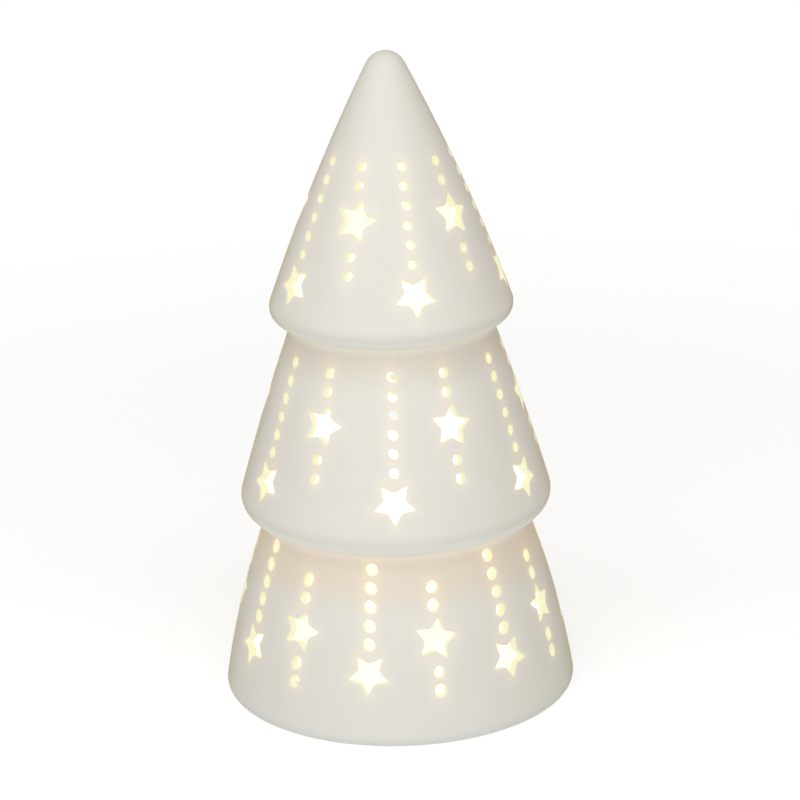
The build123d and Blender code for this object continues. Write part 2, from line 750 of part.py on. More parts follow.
def cell_frame(row):
    """A plane at the contact button's face of the cell in a row, its Z along the cell towards the other end."""
    side = -1 if row == 1 else 1
    return Plane(
        origin=(side * (bay_half_length - CONTACT), cell_rows[row], cell_level), z_dir=(-side, 0, 0)
    )


def cell(row):
    """One dry cell's steel can with its contact button."""
    radius = CELL_DIAMETER / 2 - CELL_SLEEVE
    can = disc(radius, BUTTON_HEIGHT, CELL_LENGTH)
    can = fillet(can.edges().filter_by(GeomType.CIRCLE), CELL_EDGE_RADIUS)
    return cell_frame(row) * (can + disc(BUTTON_RADIUS, 0, BUTTON_HEIGHT))


def cell_sleeve(row):
    """The film sleeve round one cell."""
    low = BUTTON_HEIGHT + CELL_SLEEVE_END
    high = CELL_LENGTH - CELL_SLEEVE_END
    outer = disc(CELL_DIAMETER / 2, low, high)
    return cell_frame(row) * (outer - disc(CELL_DIAMETER / 2 - CELL_SLEEVE, low, high))


def contact(side, low_row, high_row, tab_row=None):
    """A contact plate on the bay's end wall, over one or two rows, with a tab up through the roof if it has one."""
    near = side * (bay_half_length - CONTACT)
    far = side * bay_half_length
    body = block(
        (min(near, far), cell_rows[low_row] - CONTACT_WIDTH / 2, cell_level - CONTACT_HEIGHT / 2),
        (max(near, far), cell_rows[high_row] + CONTACT_WIDTH / 2, cell_level + CONTACT_HEIGHT / 2),
    )
    if tab_row is not None:
        body += block(
            (min(near, far), cell_rows[tab_row] - TAB_WIDTH / 2, cell_level),
            (max(near, far), cell_rows[tab_row] + TAB_WIDTH / 2, tab_top),
        )
    return body


def spring_state(quarters):
    """Centre and direction of a spring's wire after so many quarter turns, as a cone-shaped helix."""
    seat = SPRING_WIRE_RADIUS + SPRING_SEAT
    rise = (SPRING_LENGTH - 2 * seat) / SPRING_QUARTERS
    taper = (SPRING_TIP_RADIUS - SPRING_BASE_RADIUS) / SPRING_QUARTERS
    radius = SPRING_BASE_RADIUS + taper * quarters
    turn = quarters * pi / 2
    place = Vector(radius * cos(turn), radius * sin(turn), seat + rise * quarters)
    sweep_rate = radius * pi / 2
    heading = Vector(
        taper * cos(turn) - sweep_rate * sin(turn), taper * sin(turn) + sweep_rate * cos(turn), rise
    )
    return place, heading.normalized()


def biarc(start, start_heading, end, end_heading):
    """Two arcs from start to end that meet smoothly and keep both headings."""
    span = end - start
    both = start_heading + end_heading
    square = 2 * start_heading.dot(end_heading) - 2
    middle = span.dot(both)
    reach = (middle - sqrt(middle**2 - square * span.dot(span))) / square
    first_corner = start + start_heading * reach
    second_corner = end - end_heading * reach
    joint = (first_corner + second_corner) * (1 / 2)
    return [
        TangentArc(start, joint, tangent=start_heading),
        TangentArc(joint, end, tangent=second_corner - first_corner),
    ]


def spring_gap():
    """The least gap between a spring's turns, from points along its wire."""
    steps = 12
    places = [spring_state(index / steps)[0] for index in range(SPRING_QUARTERS * steps + 1)]
    apart = 2 * steps
    least = min(
        (places[second] - places[first]).length
        for first in range(len(places))
        for second in range(first + apart, len(places))
    )
    return least - 2 * SPRING_WIRE_RADIUS


def contact_spring(row):
    """The conical spring between a contact plate and the flat end of the cell in a row."""
    arcs = []
    for quarter in range(SPRING_QUARTERS):
        arcs += biarc(*spring_state(quarter), *spring_state(quarter + 1))
    start, heading = spring_state(0)
    wire = sweep(Plane(origin=start, z_dir=heading) * Circle(SPRING_WIRE_RADIUS), path=Wire(arcs))
    side = 1 if row == 1 else -1
    seat = Plane(origin=(side * (bay_half_length - CONTACT), cell_rows[row], cell_level), z_dir=(-side, 0, 0))
    return seat * wire


def wire_red():
    """From the positive contact's tab to an outer pin of the switch."""
    level = roof_top + TAB_RISE / 2
    start = Vector(bay_half_length - CONTACT, cell_rows[2], level)
    pin = switch_pin_places()[2]
    points = [
        start,
        start - Vector(WIRE_RUN, 0, 0),
        Vector(start.X - 2 * WIRE_RUN, -shell_half_width - WIRE_SIDE, level),
        Vector(pin, -switch_reach, level),
        Vector(pin, -switch_reach, switch_pin_top),
    ]
    return tube_along(WIRE_RADIUS, points, WIRE_BEND)


def wire_blue():
    """From the middle pin of the switch to the board."""
    level = board_top + WIRE_LIFT
    pad = polar(PAD_CIRCLE, BLUE_PAD_ANGLE)
    pin = switch_pin_places()[1]
    points = [
        Vector(pin, -switch_reach, switch_pin_top),
        Vector(pin, -switch_reach, level),
        Vector(pad.X, pad.Y, level),
        Vector(pad.X, pad.Y, board_top),
    ]
    return tube_along(WIRE_RADIUS, points, WIRE_BEND)


def wire_black():
    """From the negative contact's tab to the board."""
    pad = polar(PAD_CIRCLE, BLACK_PAD_ANGLE)
    start = Vector(CONTACT - bay_half_length, cell_rows[0], roof_top + TAB_RISE / 2)
    points = [
        start,
        start + Vector(WIRE_RUN, 0, 0),
        Vector(pad.X, pad.Y, board_top + WIRE_LIFT),
        Vector(pad.X, pad.Y, board_top),
    ]
    return tube_along(WIRE_RADIUS, points, WIRE_BEND)


pieces = {
    "porcelain_tree": porcelain_tree(),
    "unit_base": unit_base(),
    "unit_cover": unit_cover(),
    "cover_screws": cover_screws(),
    "grip_ring": grip_ring(),
    "circuit_board": circuit_board(),
    "resistor": resistor(),
    "resistor_leads": resistor_leads(),
    "switch_case": switch_case(),
    "switch_base": switch_base(),
    "switch_pins": switch_pins(),
    "switch_slider": switch_slider(),
    "battery_door": battery_door(),
    "contact_positive": contact(1, 2, 2, 2),
    "contact_negative": contact(-1, 0, 0, 0),
    "contact_bridge_right": contact(1, 1, 0),
    "contact_bridge_left": contact(-1, 2, 1),
    "wire_red": wire_red(),
    "wire_blue": wire_blue(),
    "wire_black": wire_black(),
}
for index, place in enumerate(led_places(), start=1):
    pieces[f"led_{index}"] = led_lens(place)
    pieces[f"led_legs_{index}"] = led_legs(place)
for row in range(len(cell_rows)):
    pieces[f"cell_{row + 1}"] = cell(row)
    pieces[f"cell_sleeve_{row + 1}"] = cell_sleeve(row)
    pieces[f"spring_{row + 1}"] = contact_spring(row)

os.makedirs("parts", exist_ok=True)
for name, shape in pieces.items():
    export_step(shape, f"parts/{name}.step")

print("least gap between spring turns", round(spring_gap(), 3))
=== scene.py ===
import math
from collections import namedtuple

import bpy
import numpy as np
from mathutils import Matrix, Vector
from mathutils.geometry import delaunay_2d_cdt


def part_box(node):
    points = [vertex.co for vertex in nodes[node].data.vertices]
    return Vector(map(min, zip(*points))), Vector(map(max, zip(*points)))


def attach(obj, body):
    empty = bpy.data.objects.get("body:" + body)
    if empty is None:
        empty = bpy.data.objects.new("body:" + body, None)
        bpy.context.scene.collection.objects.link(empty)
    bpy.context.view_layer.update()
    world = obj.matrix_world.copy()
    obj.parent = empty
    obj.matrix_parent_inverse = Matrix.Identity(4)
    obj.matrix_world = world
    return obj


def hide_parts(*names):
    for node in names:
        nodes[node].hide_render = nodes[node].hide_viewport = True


bl_info = {
    "name": "Porcelain Christmas Tree Light",
    "version": (1, 0, 0),
    "blender": (4, 5, 0),
    "location": "View3D > Sidebar > Tree Light",
    "description": "Dresses the pierced porcelain tree and the battery light unit in its base",
    "category": "Object",
}

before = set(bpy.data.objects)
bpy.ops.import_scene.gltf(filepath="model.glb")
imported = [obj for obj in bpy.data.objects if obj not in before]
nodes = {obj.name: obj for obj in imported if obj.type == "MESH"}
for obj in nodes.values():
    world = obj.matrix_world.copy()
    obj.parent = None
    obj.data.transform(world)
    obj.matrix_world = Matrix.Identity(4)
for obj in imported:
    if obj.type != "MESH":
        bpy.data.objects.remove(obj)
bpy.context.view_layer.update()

Arc = namedtuple("Arc", "centre radius start stop bend")
Tier = namedtuple("Tier", "arc first_height columns phase short_shift long_dots short_skip dot_scale")
Grain = namedtuple("Grain", "fine coarse drift smooth rough bump")

# Places in the chain of arcs that makes the outline
BOTTOM_SIDE, MIDDLE_SIDE, TOP_SIDE = 1, 4, 7
LOW_NECK, HIGH_NECK = 2, 5

# Strings of each tier: first height in metres, angles in degrees
TIERS = (
    Tier(TOP_SIDE, 0.1524, 10, 11.9, 0.0, 6, 0, 1.03),
    Tier(MIDDLE_SIDE, 0.0986, 12, -1.3, -3.0, 6, 0, 1.12),
    Tier(BOTTOM_SIDE, 0.0470, 14, -11.5, -1.6, 5, 1, 1.38),
)
STAR_TURNS = (36.0, -9.0, -33.0, 0.0, 30.0, -14.0)
SHORT_DOTS = 2

# Draws of the hand-cut holes, and how near two points of the flat sheet count as one
HAND_SEED = 12
SAME_POINT = 1e-9

# Fineness of the meshes: widest turn between rows, points round a dot and a star, points that soften each of
# a star's, degrees between the seams that are tried, points round and over the raised marks, floor's rows
ROW_TURN = math.radians(14)
DOT_POINTS, STAR_POINTS, SOFT_POINTS = 16, 80, 20
SEAM_STEP = 0.25
BAR_ROUND, BAR_OVER = 25, 9
RING_ROUND, RING_OVER = 65, 13
FLOOR_POINTS = 9


def length(name, description, default):
    """A length in metres, as a property."""
    return bpy.props.FloatProperty(
        name=name, description=description, default=default, subtype="DISTANCE", unit="LENGTH", precision=5
    )


def colour(name, description, default):
    """A linear colour, as a property."""
    return bpy.props.FloatVectorProperty(
        name=name, description=description, default=default, size=3, min=0.0, max=1.0, subtype="COLOR"
    )


def share(name, description, default):
    """A number from 0 to 1, as a property."""
    return bpy.props.FloatProperty(
        name=name, description=description, default=default, min=0.0, max=1.0, subtype="FACTOR"
    )


def amount(name, description, default):
    """A plain number, as a property."""
    return bpy.props.FloatProperty(name=name, description=description, default=default)


def whole(name, description, default):
    """A count, as a property."""
    return bpy.props.IntProperty(name=name, description=description, default=default, min=1)


def tilt(name, description, default):
    """An angle in radians, as a property."""
    return bpy.props.FloatProperty(name=name, description=description, default=default, subtype="ANGLE")


def spot(name, description, default):
    """A point in metres, as a property."""
    return bpy.props.FloatVectorProperty(name=name, description=description, default=default, subtype="XYZ")


def pair(name, description, default, subtype):
    """Two numbers of one kind, as a property."""
    return bpy.props.FloatVectorProperty(
        name=name, description=description, default=default, size=2, subtype=subtype
    )


class TREELIGHT_PG_outline(bpy.types.PropertyGroup):
    """Outline of the porcelain: radii from the axis and heights from the shelf."""

    height: length("Height", "Shelf to tip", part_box("porcelain_tree")[1].z)
    tip_radius: length("Tip radius", "Round of the tip", 0.0058)
    base_radius: length("Base radius", "Widest radius of the bottom tier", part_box("porcelain_tree")[1].x)
    base_edge: length("Base edge", "Round of the bottom edge", 0.0023)
    middle_radius: length("Middle radius", "Widest radius of the middle tier", 0.0430)
    middle_hem: length("Middle hem", "Round of the middle tier's hem", 0.0054)
    middle_hem_height: length("Middle hem height", "Height of the hem's centre", 0.0568)
    middle_overhang: length("Middle overhang", "From the hem's widest point in to the neck", 0.0073)
    top_radius: length("Top radius", "Widest radius of the top tier", 0.0333)
    top_hem: length("Top hem", "Round of the top tier's hem", 0.0041)
    top_hem_height: length("Top hem height", "Height of the hem's centre", 0.1106)
    top_overhang: length("Top overhang", "From the hem's widest point in to the neck", 0.0063)
    neck_fillet: length("Neck fillet", "Round in the neck under a hem", 0.0012)
    bottom_bow: length("Bottom bow", "Bow of the bottom tier's side", 0.245)
    middle_bow: length("Middle bow", "Bow of the middle tier's side", 0.770)
    top_bow: length("Top bow", "Bow of the top tier's side", 0.550)
    wall: length("Wall", "Thickness of the casting", 0.0028)
    floor: length("Floor", "Thickness of the floor round the mouth", 0.0036)
    seat_clearance: length("Seat clearance", "Between the unit's flange and the ledge", 0.0001)
    recess_clearance: length("Recess clearance", "Round the unit's flange", 0.0005)
    mouth_clearance: length("Mouth clearance", "Round the silicone ring", 0.0001)
    foot_round: length("Foot round", "Softened edges of the foot and the mouth", 0.0005)
    around: whole("Around", "Faces round the casting", 160)
    face_length: length("Face length", "Longest face along the outline", 0.0045)


class TREELIGHT_PG_piercing(bpy.types.PropertyGroup):
    """Round holes and stars punched through the wall."""

    dot_radius: length("Dot radius", "Half of the height of a round hole, before its tier scales it", 0.00132)
    dot_width: share("Dot width", "Width of a round hole as a share of its height", 0.86)
    dot_pitch: length("Dot pitch", "Height between round holes", 0.00482)
    star_radius: length("Star radius", "Centre of a star to its points", 0.0059)
    star_notch: share("Star notch", "Radius of a star's notches as a share of its radius", 0.51)
    star_softness: length("Star softness", "Length over which a star's corners are rounded", 0.0014)
    long_star_drop: length("Long star drop", "Last hole of a long string down to its star", 0.0079)
    short_star_drop: length("Short star drop", "Holes of a short string to its star", 0.0087)
    edge_round: length("Edge round", "Softened outer edge of a hole", 0.00030)
    unevenness: share("Unevenness", "How far the hand-cut holes differ in size", 0.06)
    wander: length("Wander", "How far the hand-cut holes stray", 0.00010)
    margin: length("Margin", "Least distance from a hole to the plain faces round it", 0.0013)
    halo_reach: length("Halo reach", "Distance over which the light in the wall round a hole fades", 0.0012)


class TREELIGHT_PG_marks(bpy.types.PropertyGroup):
    """Raised marks and ridges on the underside of the light unit."""

    rise: length("Rise", "How far they stand out", 0.00050)
    sink: length("Sink", "How far their edges reach into the plastic", 0.00005)
    line: length("Line", "Half of the width of the switch marks", 0.00035)
    mark_reach: length("Mark reach", "Half of the height of the switch marks", 0.00135)
    mark_gap: length("Mark gap", "From the end of the switch to the middle of a mark", 0.0026)
    ridge_line: length("Ridge line", "Half of the width of a ridge", 0.00050)
    ridge_reach: length("Ridge reach", "Half of the length of a ridge", 0.0055)
    ridge_pitch: length("Ridge pitch", "From ridge to ridge", 0.0022)
    ridge_inset: length("Ridge inset", "From the end of the door's latch to the first ridge", 0.0075)
    ridges: whole("Ridges", "Ridges on the door", 4)


class TREELIGHT_PG_finish(bpy.types.PropertyGroup):
    """Colours of the finishes."""

    porcelain: colour("Porcelain", "Unglazed white body", (0.788, 0.797, 0.770))
    # The body colour below the hems is painted shade with warm light: darker and warmer where the hems shade
    # the necks.
    neck_painted_shade: colour("Neck painted shade", "Body below the hems, stained by warm light", (0.722, 0.690, 0.630))
    # The body colour seen at a low angle is painted shade: darker and warmer at the sides that turn from the
    # light.
    limb_painted_shade: colour("Limb painted shade", "Body seen at a low angle, through more wall", (0.690, 0.650, 0.535))
    wall_glow: colour("Wall glow", "Lit sides of the holes", (0.500, 0.558, 0.440))
    inner_glow: colour("Inner glow", "Lit inside, near the lamps", (0.93, 0.91, 0.86))
    far_glow: colour("Far glow", "Lit inside at the top, far from the lamps", (0.90, 0.84, 0.48))
    neck_glow: colour("Neck glow", "Light that comes through the lower neck", (0.068, 0.038, 0.013))
    crease_glow: colour("Crease glow", "Light in the creases under the hems", (0.138, 0.155, 0.148))
    halo_glow: colour("Halo glow", "Light in the wall round the holes", (0.080, 0.045, 0.009))
    body_glow: colour("Body glow", "Light that comes through all of the wall", (0.045, 0.022, 0.003))
    lit_wall: colour("Lit wall", "Body of the sides of the holes, next to their glow", (0.300, 0.280, 0.160))
    lit_inside: colour("Lit inside", "Body of the inside, next to its glow", (0.300, 0.300, 0.280))
    white_plastic: colour("White plastic", "Moulded housing", (0.80, 0.80, 0.775))
    spill_glow: colour("Spill glow", "Lamplight on the housing above its flange", (0.140, 0.120, 0.060))
    screw_glow: colour("Screw glow", "Lamplight on the screws of the cover", (0.260, 0.220, 0.120))
    black_plastic: colour("Black plastic", "Switch slider", (0.018, 0.018, 0.020))
    silicone: colour("Silicone", "Grip ring", (0.70, 0.71, 0.69))
    steel: colour("Steel", "Zinc plated steel", (0.60, 0.61, 0.62))
    nickel: colour("Nickel", "Nickel plated strip", (0.70, 0.67, 0.61))
    tin: colour("Tin", "Tinned wire", (0.68, 0.69, 0.70))
    solder_mask: colour("Solder mask", "Green board", (0.012, 0.105, 0.035))
    track: colour("Track", "Copper under the green mask", (0.045, 0.190, 0.060))
    lacquer: colour("Lacquer", "Resistor body", (0.55, 0.38, 0.19))
    laminate: colour("Laminate", "Switch plate", (0.22, 0.10, 0.035))
    film: colour("Film", "Cell sleeve", (0.012, 0.050, 0.030))
    film_band: colour("Film band", "Band at the button end of a cell sleeve", (0.42, 0.24, 0.07))
    red_wire: colour("Red wire", "Insulation", (0.46, 0.012, 0.010))
    blue_wire: colour("Blue wire", "Insulation", (0.012, 0.035, 0.30))
    black_wire: colour("Black wire", "Insulation", (0.012, 0.012, 0.012))
    lamp: colour("Lamp", "Lit epoxy of the lamps", (1.0, 0.86, 0.56))


class TREELIGHT_PG_stage(bpy.types.PropertyGroup):
    """Camera, lights and floor."""

    distance: length("Distance", "Camera in front of the axis", 0.74775)
    rise: length("Rise", "Camera above the shelf", 0.32821)
    aim: spot("Aim", "Point in the middle of the picture", (0.00174, -0.00077, 0.08265))
    swing: tilt("Swing", "Turn of the camera round the tree's axis", -0.0105)
    roll: tilt("Roll", "Turn about the line of sight", 0.0247)
    lens: amount("Lens", "Focal length in millimetres", 128.5)
    sensor: amount("Sensor", "Width of the sensor in millimetres", 36.0)
    nearest: length("Nearest", "Nearest distance that the camera shows", 0.01)
    key_power: amount("Key power", "Watts of the lamp above and in front", 11.0)
    key_sides: pair("Key sides", "Width and height of that lamp", (3.4, 0.9), "XYZ_LENGTH")
    key_place: spot("Key place", "Centre of that lamp", (-0.09, -0.67, 0.72))
    fill_power: amount("Fill power", "Watts of the low lamp in front", 2.4)
    fill_sides: pair("Fill sides", "Width and height of the low lamp", (0.8, 0.8), "XYZ_LENGTH")
    fill_place: spot("Fill place", "Centre of the low lamp", (-0.10, -1.20, 0.10))
    lamp_aim: spot("Lamp aim", "Point that both lamps face", (0.0, 0.0, 0.09))
    lamp_tint: colour("Lamp tint", "Colour of both lamps", (0.975, 1.0, 1.0))
    ambient: amount("Ambient", "Light from all round", 0.36)
    ambient_tint: colour("Ambient tint", "Colour of the light from all round", (1.0, 0.935, 0.83))
    floor_tone: colour("Floor tone", "Pale floor", (0.69, 0.70, 0.715))
    floor_radius: length("Floor radius", "Half of the floor's side", 0.60)
    floor_fade: pair("Floor fade", "Shares of the radius between which it fades", (0.3, 0.9), "NONE")
    floor_gap: length("Floor gap", "How far the floor lies below the foot", 0.00005)
    floor_lift: amount("Floor lift", "What is added to the floor where it is seen", 0.55)
    floor_return: amount("Floor return", "What the floor throws back onto surfaces right above it", 0.26)
    floor_skin: length("Floor skin", "How near such a surface is", 0.0025)


# Outline of the casting


def circles_meet(first, first_radius, second, second_radius, side):
    """Where two circles cross: side 1 is left of the line from the first centre to the second, -1 right."""
    apart = second - first
    span = np.hypot(*apart)
    along = (span**2 + first_radius**2 - second_radius**2) / (2 * span)
    across = math.sqrt(first_radius**2 - along**2)
    ahead = apart / span
    return first + ahead * along + np.array((-ahead[1], ahead[0])) * across * side


def bearing(start, end):
    """Angle of the line from one point of the outline to another."""
    return math.atan2(end[1] - start[1], end[0] - start[0])


def neck_point(centre, hem, overhang):
    """The point on the underside of a hem that is in from its widest point by the overhang."""
    inward = overhang - hem
    return centre - np.array((inward, math.sqrt(hem**2 - inward**2)))


def tree_arcs(form):
    """The outline as tangent arcs from the foot to the tip, radius from the axis first and height second.

    Each side is a circle that touches its own hem from inside and runs to the neck above, or to the tip.
    A small circle that touches both from outside fills the neck. Bend is 1 where the outline bulges and -1 in
    a neck.
    """
    base = np.array((form.base_radius - form.base_edge, form.base_edge))
    middle = np.array((form.middle_radius - form.middle_hem, form.middle_hem_height))
    top = np.array((form.top_radius - form.top_hem, form.top_hem_height))
    tip = np.array((0.0, form.height - form.tip_radius))
    low_neck = neck_point(middle, form.middle_hem, form.middle_overhang)
    high_neck = neck_point(top, form.top_hem, form.top_overhang)
    bottom_bow = circles_meet(base, form.bottom_bow - form.base_edge, low_neck, form.bottom_bow, 1)
    middle_bow = circles_meet(middle, form.middle_bow - form.middle_hem, high_neck, form.middle_bow, 1)
    top_bow = circles_meet(top, form.top_bow - form.top_hem, tip, form.top_bow - form.tip_radius, 1)
    fillet = form.neck_fillet
    low = circles_meet(bottom_bow, form.bottom_bow + fillet, middle, form.middle_hem + fillet, -1)
    high = circles_meet(middle_bow, form.middle_bow + fillet, top, form.top_hem + fillet, -1)
    turn = 2 * math.pi
    return [
        Arc(base, form.base_edge, -math.pi / 2, bearing(bottom_bow, base), 1),
        Arc(bottom_bow, form.bottom_bow, bearing(bottom_bow, base), bearing(bottom_bow, low), 1),
        Arc(low, fillet, bearing(low, bottom_bow) % turn, bearing(low, middle), -1),
        Arc(middle, form.middle_hem, bearing(middle, low), bearing(middle_bow, middle), 1),
        Arc(middle_bow, form.middle_bow, bearing(middle_bow, middle), bearing(middle_bow, high), 1),
        Arc(high, fillet, bearing(high, middle_bow) % turn, bearing(high, top), -1),
        Arc(top, form.top_hem, bearing(top, high), bearing(top_bow, top), 1),
        Arc(top_bow, form.top_bow, bearing(top_bow, top), bearing(top_bow, tip), 1),
        Arc(tip, form.tip_radius, bearing(top_bow, tip), math.pi / 2, 1),
    ]


def outline_rows(arcs, face_length):
    """Arc number, angle and distance from the foot of rows along the outline, in even steps on each arc."""
    numbers = []
    angles = []
    travels = []
    travel = 0.0
    for number, arc in enumerate(arcs):
        sweep = arc.stop - arc.start
        steps = math.ceil(max(abs(sweep) * arc.radius / face_length, abs(sweep) / ROW_TURN))
        fraction = np.arange(0 if number == 0 else 1, steps + 1) / steps
        numbers.append(np.full(len(fraction), number))
        angles.append(arc.start + sweep * fraction)
        travels.append(travel + abs(sweep) * arc.radius * fraction)
        travel += abs(sweep) * arc.radius
    return np.concatenate(numbers), np.concatenate(angles), np.concatenate(travels)


def outline_points(arcs, numbers, angles, depth):
    """Radius, height and outward direction on the outline, moved in by depth.

    A point is its arc's centre plus the direction of its angle times the radius, less depth where the arc
    bulges and plus depth in a neck.
    """
    centre = np.array([arc.centre for arc in arcs])[numbers]
    radius = np.array([arc.radius for arc in arcs])[numbers]
    bend = np.array([arc.bend for arc in arcs])[numbers]
    ray = np.stack((np.cos(angles), np.sin(angles)), axis=-1)
    point = centre + ray * (radius - bend * depth)[..., None]
    return point[..., 0], point[..., 1], ray * bend[..., None]


def turned(radius, height, azimuth):
    """Points at a radius, height and azimuth, which is 0 at the front, -Y, and grows towards +X."""
    flat = (radius * np.sin(azimuth), -radius * np.cos(azimuth))
    return np.stack(np.broadcast_arrays(*flat, height), axis=-1)


# Holes


def hole_places(cut, arcs):
    """One row for each hole: arc number, angle on that arc, azimuth, 1 for a star, its turn, and scale."""
    rows = []
    for tier in TIERS:
        arc = arcs[tier.arc]
        for column in range(-(tier.columns // 2), tier.columns - tier.columns // 2):
            azimuth = tier.phase + column * 360 / tier.columns
            if column % 2 == 0:
                dots = tier.first_height - cut.dot_pitch * np.arange(tier.long_dots)
                star = dots[-1] - cut.long_star_drop
            else:
                azimuth += tier.short_shift
                above = tier.first_height - cut.dot_pitch * (tier.short_skip + np.arange(SHORT_DOTS))
                star = above[-1] - cut.short_star_drop
                below = star - cut.short_star_drop - cut.dot_pitch * np.arange(SHORT_DOTS)
                dots = np.concatenate((above, below))
            turn = STAR_TURNS[column % len(STAR_TURNS)]
            for height, is_star, scale in [(dot, 0, tier.dot_scale) for dot in dots] + [(star, 1, 1.0)]:
                angle = math.asin((height - arc.centre[1]) / arc.radius)
                rows.append((tier.arc, angle, math.radians(azimuth), is_star, math.radians(turn), scale))
    return np.array(rows)


def dot_loop(cut, count):
    """A slightly narrow circle, counter-clockwise."""
    turn = 2 * np.pi * np.arange(count) / count
    return cut.dot_radius * np.stack((cut.dot_width * np.cos(turn), np.sin(turn)), axis=-1)


def star_loop(cut, count):
    """A five-point star with one point up: straight sides, whose corners a running mean along them rounds."""
    corner = np.arange(11)
    reach = np.where(corner % 2 == 0, 1.0, cut.star_notch) * cut.star_radius
    turn = np.pi / 2 + np.pi / 5 * corner
    fine = SOFT_POINTS * count
    along = np.arange(fine) * 10 / fine
    x = np.interp(along, corner, reach * np.cos(turn))
    y = np.interp(along, corner, reach * np.sin(turn))
    side = math.hypot(np.diff(reach * np.cos(turn))[0], np.diff(reach * np.sin(turn))[0])
    width = max(1, round(cut.star_softness / side * fine / 10))
    weight = np.zeros(fine)
    weight[np.arange(width) - width // 2] = 1 / width
    blur = np.fft.fft(weight)
    soft = np.stack([np.fft.ifft(np.fft.fft(part) * blur).real for part in (x, y)], axis=-1)
    return soft[::SOFT_POINTS]


def loop_normals(loop):
    """Outward directions of a closed loop, square to the chord between its neighbours."""
    chord = np.roll(loop, -1, axis=-2) - np.roll(loop, 1, axis=-2)
    out = np.stack((chord[..., 1], -chord[..., 0]), axis=-1)
    return out / np.linalg.norm(out, axis=-1, keepdims=True)


def spun(loop, turn):
    """Loops turned counter-clockwise, one for each turn."""
    c, s = np.cos(turn)[:, None], np.sin(turn)[:, None]
    x, y = loop[..., 0], loop[..., 1]
    return np.stack((c * x - s * y, s * x + c * y), axis=-1)


def uneven_loops(cut, places, dice):
    """Loops of all holes in their own planes, as two arrays: the dots and the stars.

    Each is stretched a little across and along, turned and moved, as holes that are cut by hand are.
    """
    made = []
    for is_star, loop in ((0, dot_loop(cut, DOT_POINTS)), (1, star_loop(cut, STAR_POINTS))):
        chosen = places[places[:, 3] == is_star]
        spread = cut.unevenness / (1 + is_star)
        stretch = 1 + spread * dice.uniform(-1, 1, (len(chosen), 1, 2))
        stretch *= chosen[:, 5, None, None]
        loops = spun(loop[None] * stretch, chosen[:, 4] + spread * dice.uniform(-1, 1, len(chosen)))
        loops = loops + cut.wander * dice.uniform(-1, 1, (len(chosen), 1, 2))
        made.append((chosen, loops))
    return made


def hole_rings(arcs, chosen, loops, cut, wall):
    """Rings from a hole's outer edge through the wall, as points, normals, depths and flat places.

    A ring is the hole's loop widened by a flare at a depth: a quarter round at the outer edge, a straight
    wall and a chamfer inside. A point goes up its arc by the loop's height over the arc's radius, and round
    the axis by the loop's width over its own radius, so the walls stay parallel.
    """
    bevel = cut.edge_round
    lean = np.radians((0.0, 45.0, 90.0, 90.0, 135.0))
    flare = np.append(bevel * (1 - np.sin(lean[:3])), (0.0, bevel))
    depth = np.append(bevel * (1 - np.cos(lean[:3])), (wall - bevel, wall))
    out = loop_normals(loops)
    flat = loops[:, None] + out[:, None] * flare[None, :, None, None]
    numbers = chosen[:, 0].astype(int)
    bow = np.array([arc.radius for arc in arcs])[numbers]
    angle = chosen[:, 1, None, None] + flat[..., 1] / bow[:, None, None]
    radius, height, normal = outline_points(arcs, numbers[:, None, None], angle, depth[None, :, None])
    azimuth = chosen[:, 2, None, None] + flat[..., 0] / radius
    points = turned(radius, height, azimuth)
    facing = turned(normal[..., 0], normal[..., 1], azimuth)
    across = np.stack((np.cos(azimuth), np.sin(azimuth), np.zeros_like(azimuth)), axis=-1)
    upward = np.cross(facing, across)
    inward = -(out[:, None, :, 0, None] * across + out[:, None, :, 1, None] * upward)
    c, s = np.cos(lean)[None, :, None, None], np.sin(lean)[None, :, None, None]
    return points, c * facing + s * inward, depth, np.stack((azimuth[:, 0], angle[:, 0]), axis=-1)


# Sheets of the casting


def ring_quads(first, second):
    """Quads between two closed rows of vertex numbers."""
    corners = (first, np.roll(first, -1, axis=-1), np.roll(second, -1, axis=-1), second)
    return np.stack(corners, axis=-1).reshape(-1, 4)


def clear_seam(places, arcs, cut):
    """The azimuth that keeps farthest from all holes, of those tried in even steps."""
    tried = np.radians(np.arange(0, 360, SEAM_STEP))
    numbers = places[:, 0].astype(int)
    radius = outline_points(arcs, numbers, places[:, 1], 0.0)[0]
    apart = (places[None, :, 2] - tried[:, None] + np.pi) % (2 * np.pi) - np.pi
    reach = np.where(places[:, 3] == 1, cut.star_radius, cut.dot_radius) * places[:, 5]
    return tried[np.argmax((np.abs(apart) * radius - reach).min(axis=1))]


def foot_rows(corners, round_radius):
    """A line of radius and height through corners, each inner one rounded.

    The round is a quadratic curve from one side to the other, with the corner as its middle point. Gives
    points and the directions that face away from the casting, left of the way along the line.
    """
    corners = np.array(corners)
    before = corners[:-2] - corners[1:-1]
    after = corners[2:] - corners[1:-1]
    before /= np.linalg.norm(before, axis=1, keepdims=True)
    after /= np.linalg.norm(after, axis=1, keepdims=True)
    t = np.linspace(0.0, 1.0, 5)[None, :, None]
    start = corners[1:-1] + before * round_radius
    end = corners[1:-1] + after * round_radius
    points = (1 - t) ** 2 * start[:, None] + 2 * t * (1 - t) * corners[1:-1, None] + t**2 * end[:, None]
    heading = -(1 - t) * before[:, None] + t * after[:, None]
    points = points.reshape(-1, 2)
    heading = heading.reshape(-1, 2)
    heading /= np.linalg.norm(heading, axis=1, keepdims=True)
    return points, np.stack((-heading[:, 1], heading[:, 0]), axis=-1)


